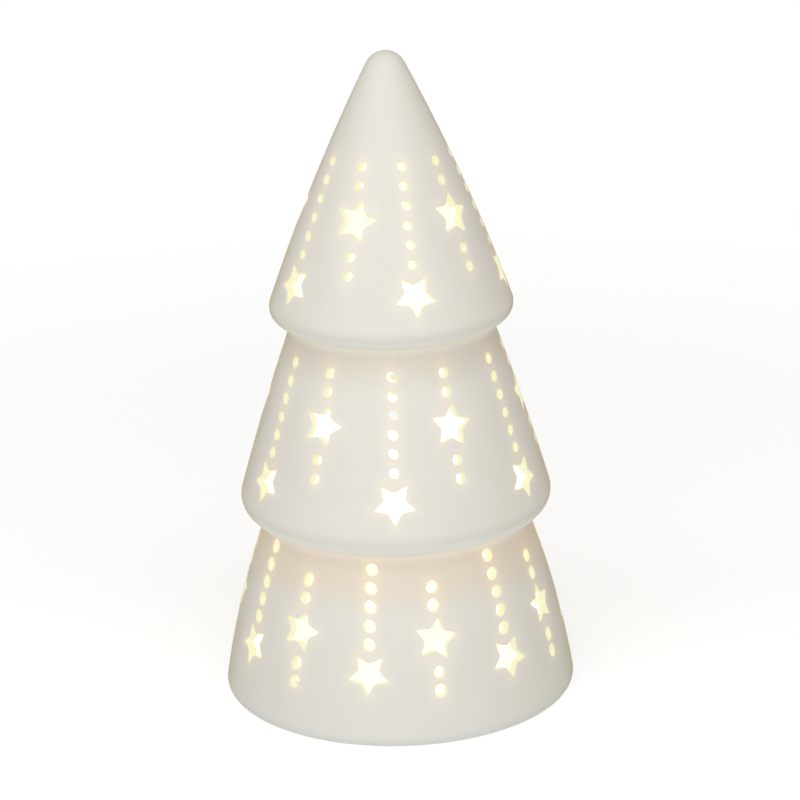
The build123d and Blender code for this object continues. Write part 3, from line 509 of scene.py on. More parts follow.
class Parts:
    """Collects vertices with normals and values, and faces of one mesh."""

    def __init__(self):
        self.points = []
        self.normals = []
        self.values = []
        self.faces = []
        self.count = 0

    def add(self, points, normals, depth, halo):
        """Adds vertices and returns their numbers in the shape of the arrays."""
        shape = points.shape[:-1]
        numbers = self.count + np.arange(math.prod(shape)).reshape(shape)
        self.points.append(points.reshape(-1, 3))
        self.normals.append(normals.reshape(-1, 3))
        values = np.broadcast_arrays(depth, halo, np.zeros(shape))[:2]
        self.values.append(np.stack(values, axis=-1).reshape(-1, 2))
        self.count += math.prod(shape)
        return numbers

    def mesh(self, name):
        """Makes the mesh from the vertices that faces use."""
        points = np.concatenate(self.points)
        normals = np.concatenate(self.normals)
        values = np.concatenate(self.values)
        used = np.zeros(len(points), bool)
        for faces in self.faces:
            used[faces.ravel()] = True
        place = np.cumsum(used) - 1
        listed = [face for faces in self.faces for face in place[faces].tolist()]
        mesh = bpy.data.meshes.new(name)
        mesh.from_pydata(points[used].tolist(), [], listed)
        mesh.shade_smooth()
        mesh.normals_split_custom_set_from_vertices(normals[used].tolist())
        for column, label in enumerate(("depth", "halo")):
            layer = mesh.attributes.new(label, "FLOAT", "POINT")
            layer.data.foreach_set("value", values[used][:, column].astype(np.float32))
        return mesh


def pierced_shell(form, cut):
    """The casting: an outer and an inner sheet of the same faces, joined by the holes' rings and the foot.

    A sheet's vertices are rows along the outline turned round the axis. Between the rows that hold the
    strings, faces are a Delaunay triangulation of rows and hole edges on the flat sheet of azimuth and
    distance along the outline.
    """
    arcs = tree_arcs(form)
    places = hole_places(cut, arcs)
    numbers, angles, travels = outline_rows(arcs, form.face_length)
    seam = clear_seam(places, arcs, cut)
    step = 2 * np.pi / form.around
    azimuth = seam + step * np.arange(form.around)

    # Rings of the holes, and their outer edges on the flat sheet
    holes = []
    outlines = []
    for chosen, loops in uneven_loops(cut, places, np.random.default_rng(HAND_SEED)):
        points, facing, depth, flat = hole_rings(arcs, chosen, loops, cut, form.wall)
        holes.append((points, facing, depth))
        arc_numbers = chosen[:, 0].astype(int)
        first = np.searchsorted(numbers, arc_numbers)
        bow = np.array([arc.radius for arc in arcs])[arc_numbers]
        along = travels[first][:, None] + (flat[..., 1] - angles[first][:, None]) * bow[:, None]
        across = (flat[..., 0] - seam) % (2 * np.pi) * form.base_radius
        outlines.append(np.stack((across, along), axis=-1))

    # Flat sheet: the rows that hold strings, and how far its places are from the holes
    low, high = string_rows(outlines, travels, cut)
    rows = np.arange(low, high + 1)
    wide = np.arange(form.around + 1)
    grid = np.stack(np.meshgrid(wide * step * form.base_radius, travels[rows]), axis=-1)
    radii = outline_points(arcs, numbers[rows], angles[rows], 0.0)[0]
    gap = edge_gaps(grid, radii / form.base_radius, outlines, 3 * cut.margin)
    kept = gap > cut.margin
    halo = np.zeros((len(numbers) - 1, form.around))
    halo[rows] = np.exp(-gap[:, :-1] / cut.halo_reach)

    # Plain rows of the two sheets, and their poles
    parts = Parts()
    sheets = []
    for depth, side in ((0.0, 1), (form.wall, -1)):
        radius, height, normal = outline_points(arcs, numbers[:-1], angles[:-1], depth)
        points = turned(radius[:, None], height[:, None], azimuth[None])
        facing = turned(normal[:, :1], normal[:, 1:], azimuth[None])
        sheets.append(parts.add(points, side * facing, depth / form.wall, halo))
        tip = np.array((0.0, 0.0, form.height - depth))
        pole = parts.add(tip[None], np.array(((0.0, 0.0, side),)), depth / form.wall, 0.0)
        last = sheets[-1][-1]
        cap = np.stack((last, np.roll(last, -1), np.full(form.around, pole[0])), axis=-1)
        parts.faces.append(cap[:, ::side])

    # Both sheets between the holes
    flat_points = [grid[kept]]
    outer = [sheets[0][rows][:, wide % form.around][kept]]
    inner = [sheets[1][rows][:, wide % form.around][kept]]
    links = []
    begun = len(flat_points[0])
    for (points, facing, depth), outline in zip(holes, outlines):
        rings = parts.add(points, facing, depth[None, :, None] / form.wall, 1.0)
        for ring in range(len(depth) - 1):
            parts.faces.append(ring_quads(rings[:, ring], rings[:, ring + 1]))
        loops = begun + np.arange(outline[..., 0].size).reshape(outline.shape[:2])
        links += np.stack((loops, np.roll(loops, -1, axis=1)), axis=-1).reshape(-1, 2).tolist()
        begun += loops.size
        outer.append(rings[:, 0].ravel())
        inner.append(rings[:, -1].ravel())
        flat_points.append(outline.reshape(-1, 2))
    flat_points = np.concatenate(flat_points)
    outer = np.concatenate(outer)
    inner = np.concatenate(inner)
    made = delaunay_2d_cdt([Vector(point) for point in flat_points.tolist()], links, [], 0, SAME_POINT)
    if len(made[0]) != len(flat_points):
        raise RuntimeError("the flat sheet of the casting has crossing hole edges")
    faces = np.array(made[2])
    faces = faces[~inside_holes(flat_points[faces].mean(axis=1), outlines)]
    parts.faces.append(outer[faces])
    parts.faces.append(inner[faces][:, ::-1])

    # Plain rows above and below the strings, and the foot
    for row in range(high, len(numbers) - 2):
        parts.faces.append(ring_quads(sheets[0][row], sheets[0][row + 1]))
        parts.faces.append(ring_quads(sheets[1][row + 1], sheets[1][row]))
    for row in range(low):
        parts.faces.append(ring_quads(sheets[0][row], sheets[0][row + 1]))
    add_foot(parts, form, arcs, sheets, low, azimuth)
    return parts.mesh("porcelain_shell")


def string_rows(outlines, travels, cut):
    """The lowest and highest plain rows that keep clear of all holes."""
    lowest = min(outline[..., 1].min() for outline in outlines) - 2 * cut.margin
    highest = max(outline[..., 1].max() for outline in outlines) + 2 * cut.margin
    return int(np.nonzero(travels < lowest)[0][-1]), int(np.nonzero(travels > highest)[0][0])


def edge_gaps(grid, shrink, outlines, far):
    """How far each place of the flat sheet is from the nearest hole's edge: 0 inside it, endless if past far.

    Distance is taken to the points of the edge, with widths shrunk to the radius of the place's row.
    """
    gaps = np.full(grid.shape[:2], np.inf)
    for one in [loop for outline in outlines for loop in outline]:
        middle = one.mean(axis=0)
        reach = np.abs(one - middle).max(axis=0) + far * np.array((1 / shrink.min(), 1.0))
        row, column = np.nonzero((np.abs(grid - middle) < reach).all(axis=-1))
        spots = grid[row, column]
        apart = spots[:, None] - one[None]
        apart[..., 0] *= shrink[row][:, None]
        near = np.linalg.norm(apart, axis=-1).min(axis=1)
        near[within(spots, one)] = 0.0
        gaps[row, column] = np.minimum(gaps[row, column], np.where(near < far, near, np.inf))
    return gaps


def within(spots, loop):
    """Which spots lie inside a loop: those from which its sides turn through a full turn."""
    side = loop[None] - spots[:, None]
    angle = np.arctan2(side[..., 1], side[..., 0])
    step = (np.roll(angle, -1, axis=1) - angle + np.pi) % (2 * np.pi) - np.pi
    return np.abs(step.sum(axis=1)) > np.pi


def inside_holes(spots, outlines):
    """Which spots of the flat sheet lie inside any hole."""
    found = np.zeros(len(spots), bool)
    for outline in outlines:
        for one in outline:
            low, high = one.min(axis=0), one.max(axis=0)
            close = np.nonzero(((spots > low) & (spots < high)).all(axis=1))[0]
            if len(close):
                found[close] |= within(spots[close], one)
    return found


def add_foot(parts, form, arcs, sheets, low, azimuth):
    """The foot ring, recess, ledge, mouth and floor, from the outer sheet's first row to the inner sheet.

    They are one rounded line turned round the axis. Its last corner lies a small angle onward up the inside.
    """
    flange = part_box("unit_base")[1].x
    ring_low, ring_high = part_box("grip_ring")
    ledge = ring_low.z + form.seat_clearance
    mouth = ring_high.x + form.mouth_clearance
    recess = flange + form.recess_clearance
    top = ledge + form.floor
    side = arcs[BOTTOM_SIDE]
    bow = side.radius - form.wall
    inner_angle = math.asin((top - side.centre[1]) / bow)
    onward = 0.02
    corners = [
        (form.base_radius - form.base_edge, 0.0),
        (recess, 0.0),
        (recess, ledge),
        (mouth, ledge),
        (mouth, top),
        (side.centre[0] + bow * math.cos(inner_angle), top),
        (side.centre[0] + bow * math.cos(inner_angle + onward), top + onward * side.radius),
    ]
    points, facing = foot_rows(corners, form.foot_round)
    radius, height = points[:, :1], points[:, 1:]
    rows = parts.add(
        turned(radius, height, azimuth[None]),
        turned(facing[:, :1], facing[:, 1:], azimuth[None]),
        np.clip((height - ledge) / form.floor, 0, 1),
        0.0,
    )
    chain = [sheets[0][0], *rows, sheets[1][low]]
    for first, second in zip(chain, chain[1:]):
        parts.faces.append(ring_quads(second, first))


# Pieces


def linked(name, data):
    """A new object of the scene, at the origin."""
    made = bpy.data.objects.new(name, data)
    bpy.context.scene.collection.objects.link(made)
    return made


def add_piece(mesh, name, body, finish, replaced=()):
    """Links a finished mesh as a piece that rides on a body."""
    piece = linked(name, mesh)
    mesh.materials.append(finish)
    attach(piece, body)
    if replaced:
        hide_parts(*replaced)


def grid_mesh(name, grids):
    """A mesh of quads over grids of points, which face the cross product of second and first direction."""
    faces = []
    begun = 0
    for grid in grids:
        number = begun + np.arange(grid[..., 0].size).reshape(grid.shape[:2])
        corners = (number[:-1, :-1], number[:-1, 1:], number[1:, 1:], number[1:, :-1])
        faces.append(np.stack(corners, axis=-1).reshape(-1, 4))
        begun += number.size
    points = np.concatenate([grid.reshape(-1, 3) for grid in grids])
    mesh = bpy.data.meshes.new(name)
    mesh.from_pydata(points.tolist(), [], np.concatenate(faces).tolist())
    mesh.shade_smooth()
    return mesh


# Small mouldings


def raised_bar(place, reach, line, rise, sink):
    """A domed bar along y on a face that looks down: u goes round its two ends, v from its edge to its crest.

    x = w cos v cos u, y = (l - w) e + w cos v sin u, z = s - (s + h) sin v, where e is 1 at one end and -1 at
    the other, l is the reach, w the line, h the rise and s the sink.
    """
    turn = np.linspace(0.0, np.pi, BAR_ROUND)
    u = np.concatenate((turn, turn + np.pi, turn[:1]))[::-1]
    end = np.repeat((1.0, -1.0, 1.0), (turn.size, turn.size, 1))[::-1]
    v = np.linspace(0.0, np.pi / 2, BAR_OVER)[:, None]
    x = line * np.cos(v) * np.cos(u)
    y = (reach - line) * end + line * np.cos(v) * np.sin(u)
    z = sink - (sink + rise) * np.sin(v) + np.zeros(u.size)
    return np.array(place) + np.stack((x, y, z), axis=-1)


def raised_ring(place, reach, line, rise, sink):
    """A domed ring on a face that looks down: u goes round it and v over its line.

    x = (l - w + w cos v) cos u, y = (l - w + w cos v) sin u, z = s - (s + h) sin v, with the bar's letters.
    """
    over = np.linspace(0.0, np.pi, RING_OVER)
    around = np.linspace(2 * np.pi, 0.0, RING_ROUND)
    v, u = np.meshgrid(over, around, indexing="ij")
    radius = reach - line + line * np.cos(v)
    z = sink - (sink + rise) * np.sin(v)
    return np.array(place) + np.stack((radius * np.cos(u), radius * np.sin(u), z), axis=-1)


# Materials

WHITE = (1.0, 1.0, 1.0)
NO_GLOW = (0.0, 0.0, 0.0)

# Surface of each finish: scales of the fine and the coarse noise, share by which the tone drifts, least and
# most roughness, and height of the bump in metres
GRAINS = {
    "bisque_porcelain": Grain(5200.0, 60.0, 0.035, 0.62, 0.78, 0.000012),
    "lit_moulding": Grain(3200.0, 90.0, 0.04, 0.38, 0.52, 0.000010),
    "white_moulding": Grain(3200.0, 90.0, 0.04, 0.38, 0.52, 0.000010),
    "raised_moulding": Grain(3200.0, 90.0, 0.04, 0.34, 0.46, 0.000010),
    "black_moulding": Grain(3200.0, 90.0, 0.04, 0.35, 0.50, 0.000010),
    "soft_silicone": Grain(3200.0, 90.0, 0.04, 0.50, 0.68, 0.000010),
    "insulation": Grain(3200.0, 90.0, 0.08, 0.30, 0.42, 0.000010),
    "resistor_lacquer": Grain(3200.0, 90.0, 0.12, 0.22, 0.34, 0.000010),
    "pressed_laminate": Grain(3200.0, 90.0, 0.20, 0.40, 0.60, 0.000010),
    "zinc_steel": Grain(2600.0, 220.0, 0.14, 0.26, 0.42, 0.000004),
    "tinned_wire": Grain(1800.0, 220.0, 0.14, 0.24, 0.40, 0.000004),
    "nickel_strip": Grain(1500.0, 220.0, 0.14, 0.14, 0.30, 0.000004),
    "can_steel": Grain(2000.0, 220.0, 0.14, 0.20, 0.36, 0.000004),
    "green_board": Grain(2600.0, 200.0, 0.08, 0.25, 0.42, 0.000006),
    "cell_film": Grain(1800.0, 120.0, 0.10, 0.16, 0.30, 0.000004),
    "lit_epoxy": Grain(900.0, 300.0, 0.05, 0.08, 0.16, 0.000003),
}

# Heights from a neck's middle, in metres: where a band starts and is full, and where it falls and ends
# The neck bands paint shade and warm light into the body below the hems; the low band also holds the neck
# glow.
LOW_NECK_SHADE = (-0.0175, -0.0060, 0.0, 0.0016)
HIGH_NECK_SHADE = (-0.0130, -0.0030, 0.0, 0.0016)
LOW_CREASE = (-0.0026, 0.0003, 0.0028, 0.0064)
HIGH_CREASE = (-0.0024, 0.0001, 0.0017, 0.0048)

# Where the casting's light changes: shares of the wall between which a hole has its side's colour, heights
# between which the foot gets its light, height above which the inside gets yellower, and how far a surface
# is turned away where its painted shade at the sides starts and is full
SIDE_STOPS = (0.09, 0.92)
FOOT_FADE = (0.0004, 0.0050)
YELLOW_START = 0.03
LIMB_SHADE_ANGLE = (0.62, 0.95)
BISQUE_SPECULAR = 0.22

# Housing, board, cells and lamps: distances inside the housing's edge where lamplight starts and is full,
# crests of the board's rings that are tracks, shares of a sleeve's length where its band starts and is full,
# its clear coat, and shares of its light at the foot and the top of a lamp
EDGE_FADE = (0.0004, 0.0002)
TRACK_CREST = (0.52, 0.60)
BAND_START = (0.26, 0.25)
FILM_COAT = 0.3
LAMP_RISE = (0.55, 1.25)


def opaque(paint):
    """A colour with full alpha, or the socket that gives a colour."""
    return paint if isinstance(paint, bpy.types.NodeSocket) else (*paint, 1.0)


def cleared(holder):
    """The emptied node tree of a new material or world."""
    holder.use_nodes = True
    holder.node_tree.nodes.clear()
    return holder.node_tree


class Graph:
    """Adds nodes to one node tree and feeds their sockets with values or other sockets."""

    def __init__(self, tree):
        self.tree = tree

    def add(self, kind, inputs=None, **settings):
        """Adds a shader node, sets it and feeds its inputs by name or number."""
        made = self.tree.nodes.new("ShaderNode" + kind)
        for name, value in settings.items():
            setattr(made, name, value)
        for key, value in (inputs or {}).items():
            self.feed(made.inputs[key], value)
        return made

    def feed(self, socket, value):
        """Links a socket or sets its value."""
        if isinstance(value, bpy.types.NodeSocket):
            self.tree.links.new(value, socket)
        else:
            socket.default_value = value

    def place(self):
        """Object coordinates."""
        return self.add("TexCoord").outputs["Object"]

    def axes(self):
        """Object coordinates one by one, as X, Y and Z."""
        return self.add("SeparateXYZ", {0: self.place()}).outputs

    def reach(self, place):
        """How far a place is from the origin."""
        return self.add("VectorMath", {0: place}, operation="LENGTH").outputs["Value"]

    def calc(self, operation, first, second):
        """A number worked out from two others."""
        return self.add("Math", {0: first, 1: second}, operation=operation).outputs[0]

    def scaled(self, paint, factor):
        """A colour times a number."""
        return self.add("VectorMath", {0: paint, "Scale": factor}, operation="SCALE").outputs[0]

    def mixed(self, factor, first, second):
        """A blend of two colours."""
        mix = self.add("Mix", {"Factor": factor}, data_type="RGBA")
        self.feed(mix.inputs[6], opaque(first))
        self.feed(mix.inputs[7], opaque(second))
        return mix.outputs[2]

    def ranged(self, value, start, stop, low=0.0, high=1.0, **settings):
        """Low where a value is start and high where it is stop, with a straight line between."""
        limits = {"From Min": start, "From Max": stop, "To Min": low, "To Max": high}
        return self.add("MapRange", {"Value": value, **limits}, **settings).outputs[0]

    def smooth(self, value, start, stop):
        """0 where a value is start and 1 where it is stop, which may be less, with a smooth step between."""
        return self.ranged(value, start, stop, interpolation_type="SMOOTHSTEP")

    def band(self, value, level, span):
        """1 round a level, from span[1] to span[2] past it, and 0 below span[0] and above span[3]."""
        rise = self.smooth(value, level + span[0], level + span[1])
        fall = self.smooth(value, level + span[3], level + span[2])
        return self.calc("MULTIPLY", rise, fall)

    def through_wall(self, depth, outside, side, inside):
        """A colour that goes from the outside to the sides of a hole and on to the inside."""
        ramp = self.add("ValToRGB", {"Fac": depth})
        stops = ramp.color_ramp.elements
        stops[0].color = opaque(outside)
        stops[1].color = opaque(inside)
        for position in SIDE_STOPS:
            stops.new(position).color = opaque(side)
        return ramp.outputs["Color"]

    def group(self, name, inputs):
        """Places a shared group, which is built when it is first asked for, and gives its outputs."""
        tree = bpy.data.node_groups.get(name) or shared_group(name, *SHARED[name])
        return self.add("Group", inputs, node_tree=tree).outputs


def shared_group(name, inputs, outputs, fill):
    """A shader node group with named sockets. Fill adds its nodes and gives what goes out, by name."""
    tree = bpy.data.node_groups.new(name, "ShaderNodeTree")
    for way, sockets in (("INPUT", inputs), ("OUTPUT", outputs)):
        for label, kind in sockets.items():
            tree.interface.new_socket(label, in_out=way, socket_type="NodeSocket" + kind)
    graph = Graph(tree)
    made = fill(graph, tree.nodes.new("NodeGroupInput").outputs)
    out = tree.nodes.new("NodeGroupOutput").inputs
    for label, socket in made.items():
        graph.feed(out[label], socket)
    return tree


def fine_grain(graph, given):
    """Two sizes of noise on Object coordinates, for bump and for small changes of tone and gloss."""
    place = graph.place()
    height, cloud = [
        graph.add("TexNoise", {"Vector": place, "Scale": given[size], "Detail": detail, "Roughness": rough})
        for size, detail, rough in (("Fine", 3.0, 0.6), ("Coarse", 2.0, 0.5))
    ]
    return {"Height": height.outputs["Fac"], "Cloud": cloud.outputs["Fac"]}


def tone_drift(graph, given):
    """A colour that gets lighter and darker with a mask, by a share of itself."""
    swing = graph.calc("MULTIPLY", graph.calc("SUBTRACT", given["Mask"], 0.5), given["Share"])
    return {"Colour": graph.scaled(given["Colour"], graph.calc("ADD", swing, 1.0))}


def gloss_drift(graph, given):
    """A roughness that wanders between two values with the middle of a mask."""
    return {"Roughness": graph.ranged(given["Mask"], 0.3, 0.7, given["Low"], given["High"])}


# Shared groups: what goes in, what comes out and what fills them
SHARED = {
    "Fine Grain": ({"Fine": "Float", "Coarse": "Float"}, {"Height": "Float", "Cloud": "Float"}, fine_grain),
    "Tone Drift": ({"Colour": "Color", "Mask": "Float", "Share": "Float"}, {"Colour": "Color"}, tone_drift),
    "Gloss Drift": ({"Mask": "Float", "Low": "Float", "High": "Float"}, {"Roughness": "Float"}, gloss_drift),
}


class Finish(Graph):
    """A material with one Principled shader, whose grain is the one of its name or of another kind."""

    def __init__(self, name, kind=None):
        self.material = bpy.data.materials.new(name)
        super().__init__(cleared(self.material))
        self.grain = GRAINS[kind or name]
        shader = self.add("BsdfPrincipled")
        self.shader = shader.inputs
        self.add("OutputMaterial", {"Surface": shader.outputs[0]})

    def set(self, name, value):
        """Feeds one input of the shader."""
        self.feed(self.shader[name], value)

    def cover(self, paint):
        """Feeds the shader from the shared groups: drifting colour, drifting gloss and a fine bump."""
        grain = self.grain
        noise = self.group("Fine Grain", {"Fine": grain.fine, "Coarse": grain.coarse})
        cloud = noise["Cloud"]
        tone = self.group("Tone Drift", {"Colour": opaque(paint), "Mask": cloud, "Share": grain.drift})
        gloss = self.group("Gloss Drift", {"Mask": cloud, "Low": grain.smooth, "High": grain.rough})
        relief = self.add("Bump", {"Height": noise["Height"], "Distance": grain.bump, "Strength": 1.0})
        self.set("Base Color", tone["Colour"])
        self.set("Roughness", gloss["Roughness"])
        self.set("Normal", relief.outputs["Normal"])

    def light(self, glow):
        """Makes the surface shine, with no search for it as a lamp."""
        self.material.cycles.emission_sampling = "NONE"
        self.set("Emission Color", opaque(glow))
        self.set("Emission Strength", 1.0)


def bisque(colours, form):
    """Unglazed porcelain: fine matt grain, lit from inside.

    The depth attribute blends from the outside through the sides of the holes to the inside, and the halo
    attribute is the light in the wall round the holes. Bands of height paint shade and warm light into the
    colour of the necks and light the creases under the hems, and the light in the wall starts above the foot.
    Outside the creases, a surface that is seen at a low angle is painted a darker, warmer shade.
    """
    finish = Finish("bisque_porcelain")
    depth, halo = [finish.add("Attribute", attribute_name=name).outputs["Fac"] for name in ("depth", "halo")]
    height = finish.axes()["Z"]
    arcs = tree_arcs(form)
    low, high = [float(arcs[neck].centre[1]) for neck in (LOW_NECK, HIGH_NECK)]
    # Painted shade: the necks below the hems get a darker, warmer body colour.
    low_neck = finish.band(height, low, LOW_NECK_SHADE)
    neck_shade_mask = finish.calc("ADD", low_neck, finish.band(height, high, HIGH_NECK_SHADE))
    crease = finish.calc("ADD", finish.band(height, low, LOW_CREASE), finish.band(height, high, HIGH_CREASE))
    plain, shaded_neck, shaded_limb = [
        finish.through_wall(depth, tone, colours.lit_wall, colours.lit_inside)
        for tone in (colours.porcelain, colours.neck_painted_shade, colours.limb_painted_shade)
    ]
    # Painted shade: surfaces seen at a low angle, at the sides, get a darker, warmer body colour.
    turned_away = finish.smooth(finish.add("LayerWeight").outputs["Facing"], *LIMB_SHADE_ANGLE)
    limb_shade_mask = finish.calc("MULTIPLY", turned_away, finish.calc("SUBTRACT", 1.0, crease))
    finish.cover(finish.mixed(limb_shade_mask, finish.mixed(neck_shade_mask, plain, shaded_neck), shaded_limb))
    finish.set("Specular IOR Level", BISQUE_SPECULAR)
    near, far = [
        finish.through_wall(depth, NO_GLOW, colours.wall_glow, inside)
        for inside in (colours.inner_glow, colours.far_glow)
    ]
    total = finish.mixed(finish.ranged(height, YELLOW_START, form.height), near, far)
    glows = (
        (colours.body_glow, finish.smooth(height, *FOOT_FADE)),
        (colours.neck_glow, low_neck),
        (colours.crease_glow, crease),
        (colours.halo_glow, halo),
    )
    for paint, mask in glows:
        glow = finish.scaled(paint, mask)
        total = finish.add("VectorMath", {0: total, 1: glow}, operation="ADD").outputs[0]
    finish.light(total)
    return finish.material


def moulded(name, paint, kind=None):
    """Moulded plastic: a fine spark-eroded texture and slow changes of gloss."""
    finish = Finish(name, kind)
    finish.cover(paint)
    return finish.material


def lit_moulding(colours):
    """Moulded plastic that the lamps light warmly on the top of the cover and on the outside of the skirt."""
    finish = Finish("lit_moulding")
    finish.cover(colours.white_plastic)
    axes = finish.axes()
    reach = finish.reach(finish.add("CombineXYZ", {0: axes["X"], 1: axes["Y"]}).outputs[0])
    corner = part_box("unit_cover")[1]
    low, high = [level.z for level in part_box("grip_ring")]
    outside, top = [
        finish.smooth(value, *[edge - inset for inset in EDGE_FADE])
        for value, edge in ((reach, corner.x), (axes["Z"], corner.z))
    ]
    side = finish.calc("MULTIPLY", finish.smooth(axes["Z"], low, high), outside)
    finish.light(finish.scaled(colours.spill_glow, finish.calc("MAXIMUM", side, top)))
    return finish.material


def metal(name, paint, glow=None):
    """Plated metal: small pits and a cloudy plating, and lamplight on it where a glow is given."""
    finish = Finish(name)
    finish.cover(paint)
    finish.set("Metallic", 1.0)
    if glow:
        finish.light(glow)
    return finish.material


def circuit_finish(colours):
    """Green solder mask over copper: tracks are crests of rings round the board's middle, bent by noise."""
    finish = Finish("green_board")
    rings = finish.add(
        "TexWave",
        {"Vector": finish.place(), "Scale": 120.0, "Distortion": 6.0, "Detail": 0.0, "Detail Scale": 40.0},
        wave_type="RINGS",
        rings_direction="Z",
    )
    crest = finish.ranged(rings.outputs["Fac"], *TRACK_CREST)
    finish.cover(finish.mixed(crest, colours.solder_mask, colours.track))
    return finish.material


def film_finish(colours, node):
    """Printed film of a cell: a dark body with a lighter band at the end where the can shows its button."""
    finish = Finish("film_" + node, "cell_film")
    low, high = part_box(node)
    can_low, can_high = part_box(node.replace("cell_sleeve", "cell"))
    span = high.x - low.x
    button_left = low.x - can_low.x > can_high.x - high.x
    end, inward = (low.x, span) if button_left else (high.x, -span)
    band = finish.ranged(finish.axes()["X"], *[end + part * inward for part in BAND_START])
    finish.cover(finish.mixed(band, colours.film, colours.film_band))
    finish.set("Coat Weight", FILM_COAT)
    return finish.material


def lamp_finish(colours):
    """Lit epoxy, brightest towards the top of the dome."""
    finish = Finish("lit_epoxy")
    finish.cover(colours.lamp)
    low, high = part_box("led_1")
    finish.light(finish.scaled(colours.lamp, finish.ranged(finish.axes()["Z"], low.z, high.z, *LAMP_RISE)))
    return finish.material


def nodes_named(start, skip=None):
    """CAD nodes whose names begin in a given way, or in one of several, and don't hold the word to skip."""
    return [name for name in nodes if name.startswith(start) and not (skip and skip in name)]


def dress(names, finish):
    """Gives CAD nodes one finish."""
    for name in names:
        mesh = nodes[name].data
        mesh.materials.clear()
        mesh.materials.append(finish)


# Operators


class TREELIGHT_OT_porcelain(bpy.types.Operator):
    """Build the pierced porcelain casting"""

    bl_idname = "treelight.porcelain"
    bl_label = "Porcelain"

    def execute(self, context):
        scene = context.scene
        mesh = pierced_shell(scene.tree_outline, scene.tree_piercing)
        finish = bisque(scene.tree_finish, scene.tree_outline)
        add_piece(mesh, "porcelain_shell", "tree", finish, ("porcelain_tree",))
        return {"FINISHED"}


class TREELIGHT_OT_housing(bpy.types.Operator):
    """Dress the housing, door, screws, ring and slider of the light unit"""

    bl_idname = "treelight.housing"
    bl_label = "Housing"

    def execute(self, context):
        colours = context.scene.tree_finish
        dress(("unit_base", "unit_cover"), lit_moulding(colours))
        dress(("battery_door",), moulded("white_moulding", colours.white_plastic))
        dress(("switch_slider",), moulded("black_moulding", colours.black_plastic))
        dress(("grip_ring",), moulded("soft_silicone", colours.silicone))
        dress(("cover_screws",), metal("zinc_steel", colours.steel, colours.screw_glow))
        return {"FINISHED"}


class TREELIGHT_OT_marks(bpy.types.Operator):
    """Add the on and off marks beside the switch and the ridges of the battery door"""

    bl_idname = "treelight.marks"
    bl_label = "Marks"

    def execute(self, context):
        size = context.scene.tree_marks
        finish = moulded("raised_moulding", context.scene.tree_finish.white_plastic)
        low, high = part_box("switch_case")
        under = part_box("unit_base")[0].z
        middle = (low.y + high.y) / 2
        shape = (size.mark_reach, size.line, size.rise, size.sink)
        on = raised_bar((high.x + size.mark_gap, middle, under), *shape)
        off = raised_ring((low.x - size.mark_gap, middle, under), *shape)
        add_piece(grid_mesh("switch_marks", [on, off]), "switch_marks", "light_unit", finish)
        low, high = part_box("battery_door")
        shape = (size.ridge_reach, size.ridge_line, size.rise, size.sink)
        starts = high.x - size.ridge_inset - size.ridge_pitch * np.arange(size.ridges)
        bars = [raised_bar((start, 0.0, low.z), *shape) for start in starts]
        add_piece(grid_mesh("door_ridges", bars), "door_ridges", "door", finish)
        return {"FINISHED"}


class TREELIGHT_OT_lamps(bpy.types.Operator):
    """Dress the lamps, the board and the resistor"""

    bl_idname = "treelight.lamps"
    bl_label = "Lamps"

    def execute(self, context):
        colours = context.scene.tree_finish
        wires = nodes_named("led_legs") + ["resistor_leads", "switch_pins"]
        dress(nodes_named("led_", skip="legs"), lamp_finish(colours))
        dress(wires, metal("tinned_wire", colours.tin))
        dress(("circuit_board",), circuit_finish(colours))
        dress(("resistor",), moulded("resistor_lacquer", colours.lacquer))
        return {"FINISHED"}


class TREELIGHT_OT_power(bpy.types.Operator):
    """Dress the cells, contacts, springs, wires and switch"""

    bl_idname = "treelight.power"
    bl_label = "Power"

    def execute(self, context):
        colours = context.scene.tree_finish
        dress(nodes_named(("contact_", "spring_")), metal("nickel_strip", colours.nickel))
        dress(nodes_named("cell_", skip="sleeve") + ["switch_case"], metal("can_steel", colours.steel))
        for name in nodes_named("cell_sleeve"):
            dress((name,), film_finish(colours, name))
        for tone in ("red", "blue", "black"):
            paint = getattr(colours, tone + "_wire")
            dress(("wire_" + tone,), moulded(tone + "_insulation", paint, "insulation"))
        dress(("switch_base",), moulded("pressed_laminate", colours.laminate))
        return {"FINISHED"}


class TREELIGHT_OT_stage(bpy.types.Operator):
    """Set up the camera, lights, floor and background"""

    bl_idname = "treelight.stage"
    bl_label = "Stage"

    def execute(self, context):
        scene = context.scene
        stage = scene.tree_stage
        scene.view_settings.view_transform = "Standard"
        add_camera(scene, stage)
        add_lamp(stage, "key_lamp", stage.key_power, stage.key_sides, stage.key_place)
        add_lamp(stage, "fill_lamp", stage.fill_power, stage.fill_sides, stage.fill_place)
        add_world(scene, stage)
        add_floor(stage)
        return {"FINISHED"}


# Stage


def facing_turn(place, aim):
    """The turn of a camera or lamp at a place that looks at an aim."""
    return (Vector(aim) - Vector(place)).to_track_quat("-Z", "Y").to_matrix().to_4x4()


def add_camera(scene, stage):
    """The camera, turned to the aim point, rolled about its line of sight and swung round the tree."""
    lens = bpy.data.cameras.new("camera")
    lens.sensor_width = stage.sensor
    lens.lens = stage.lens
    lens.clip_start = stage.nearest
    camera = linked("camera", lens)
    place = (0.0, -stage.distance, stage.rise)
    view = Matrix.Translation(place) @ facing_turn(place, stage.aim) @ Matrix.Rotation(-stage.roll, 4, "Z")
    camera.matrix_world = Matrix.Rotation(stage.swing, 4, "Z") @ view
    scene.camera = camera


def add_lamp(stage, name, power, sides, place):
    """A large soft lamp that faces the middle of the tree."""
    light = bpy.data.lights.new(name, "AREA")
    light.shape = "RECTANGLE"
    light.size, light.size_y = sides
    light.energy = power
    light.color = stage.lamp_tint
    lamp = linked(name, light)
    lamp.matrix_world = Matrix.Translation(place) @ facing_turn(place, stage.lamp_aim)


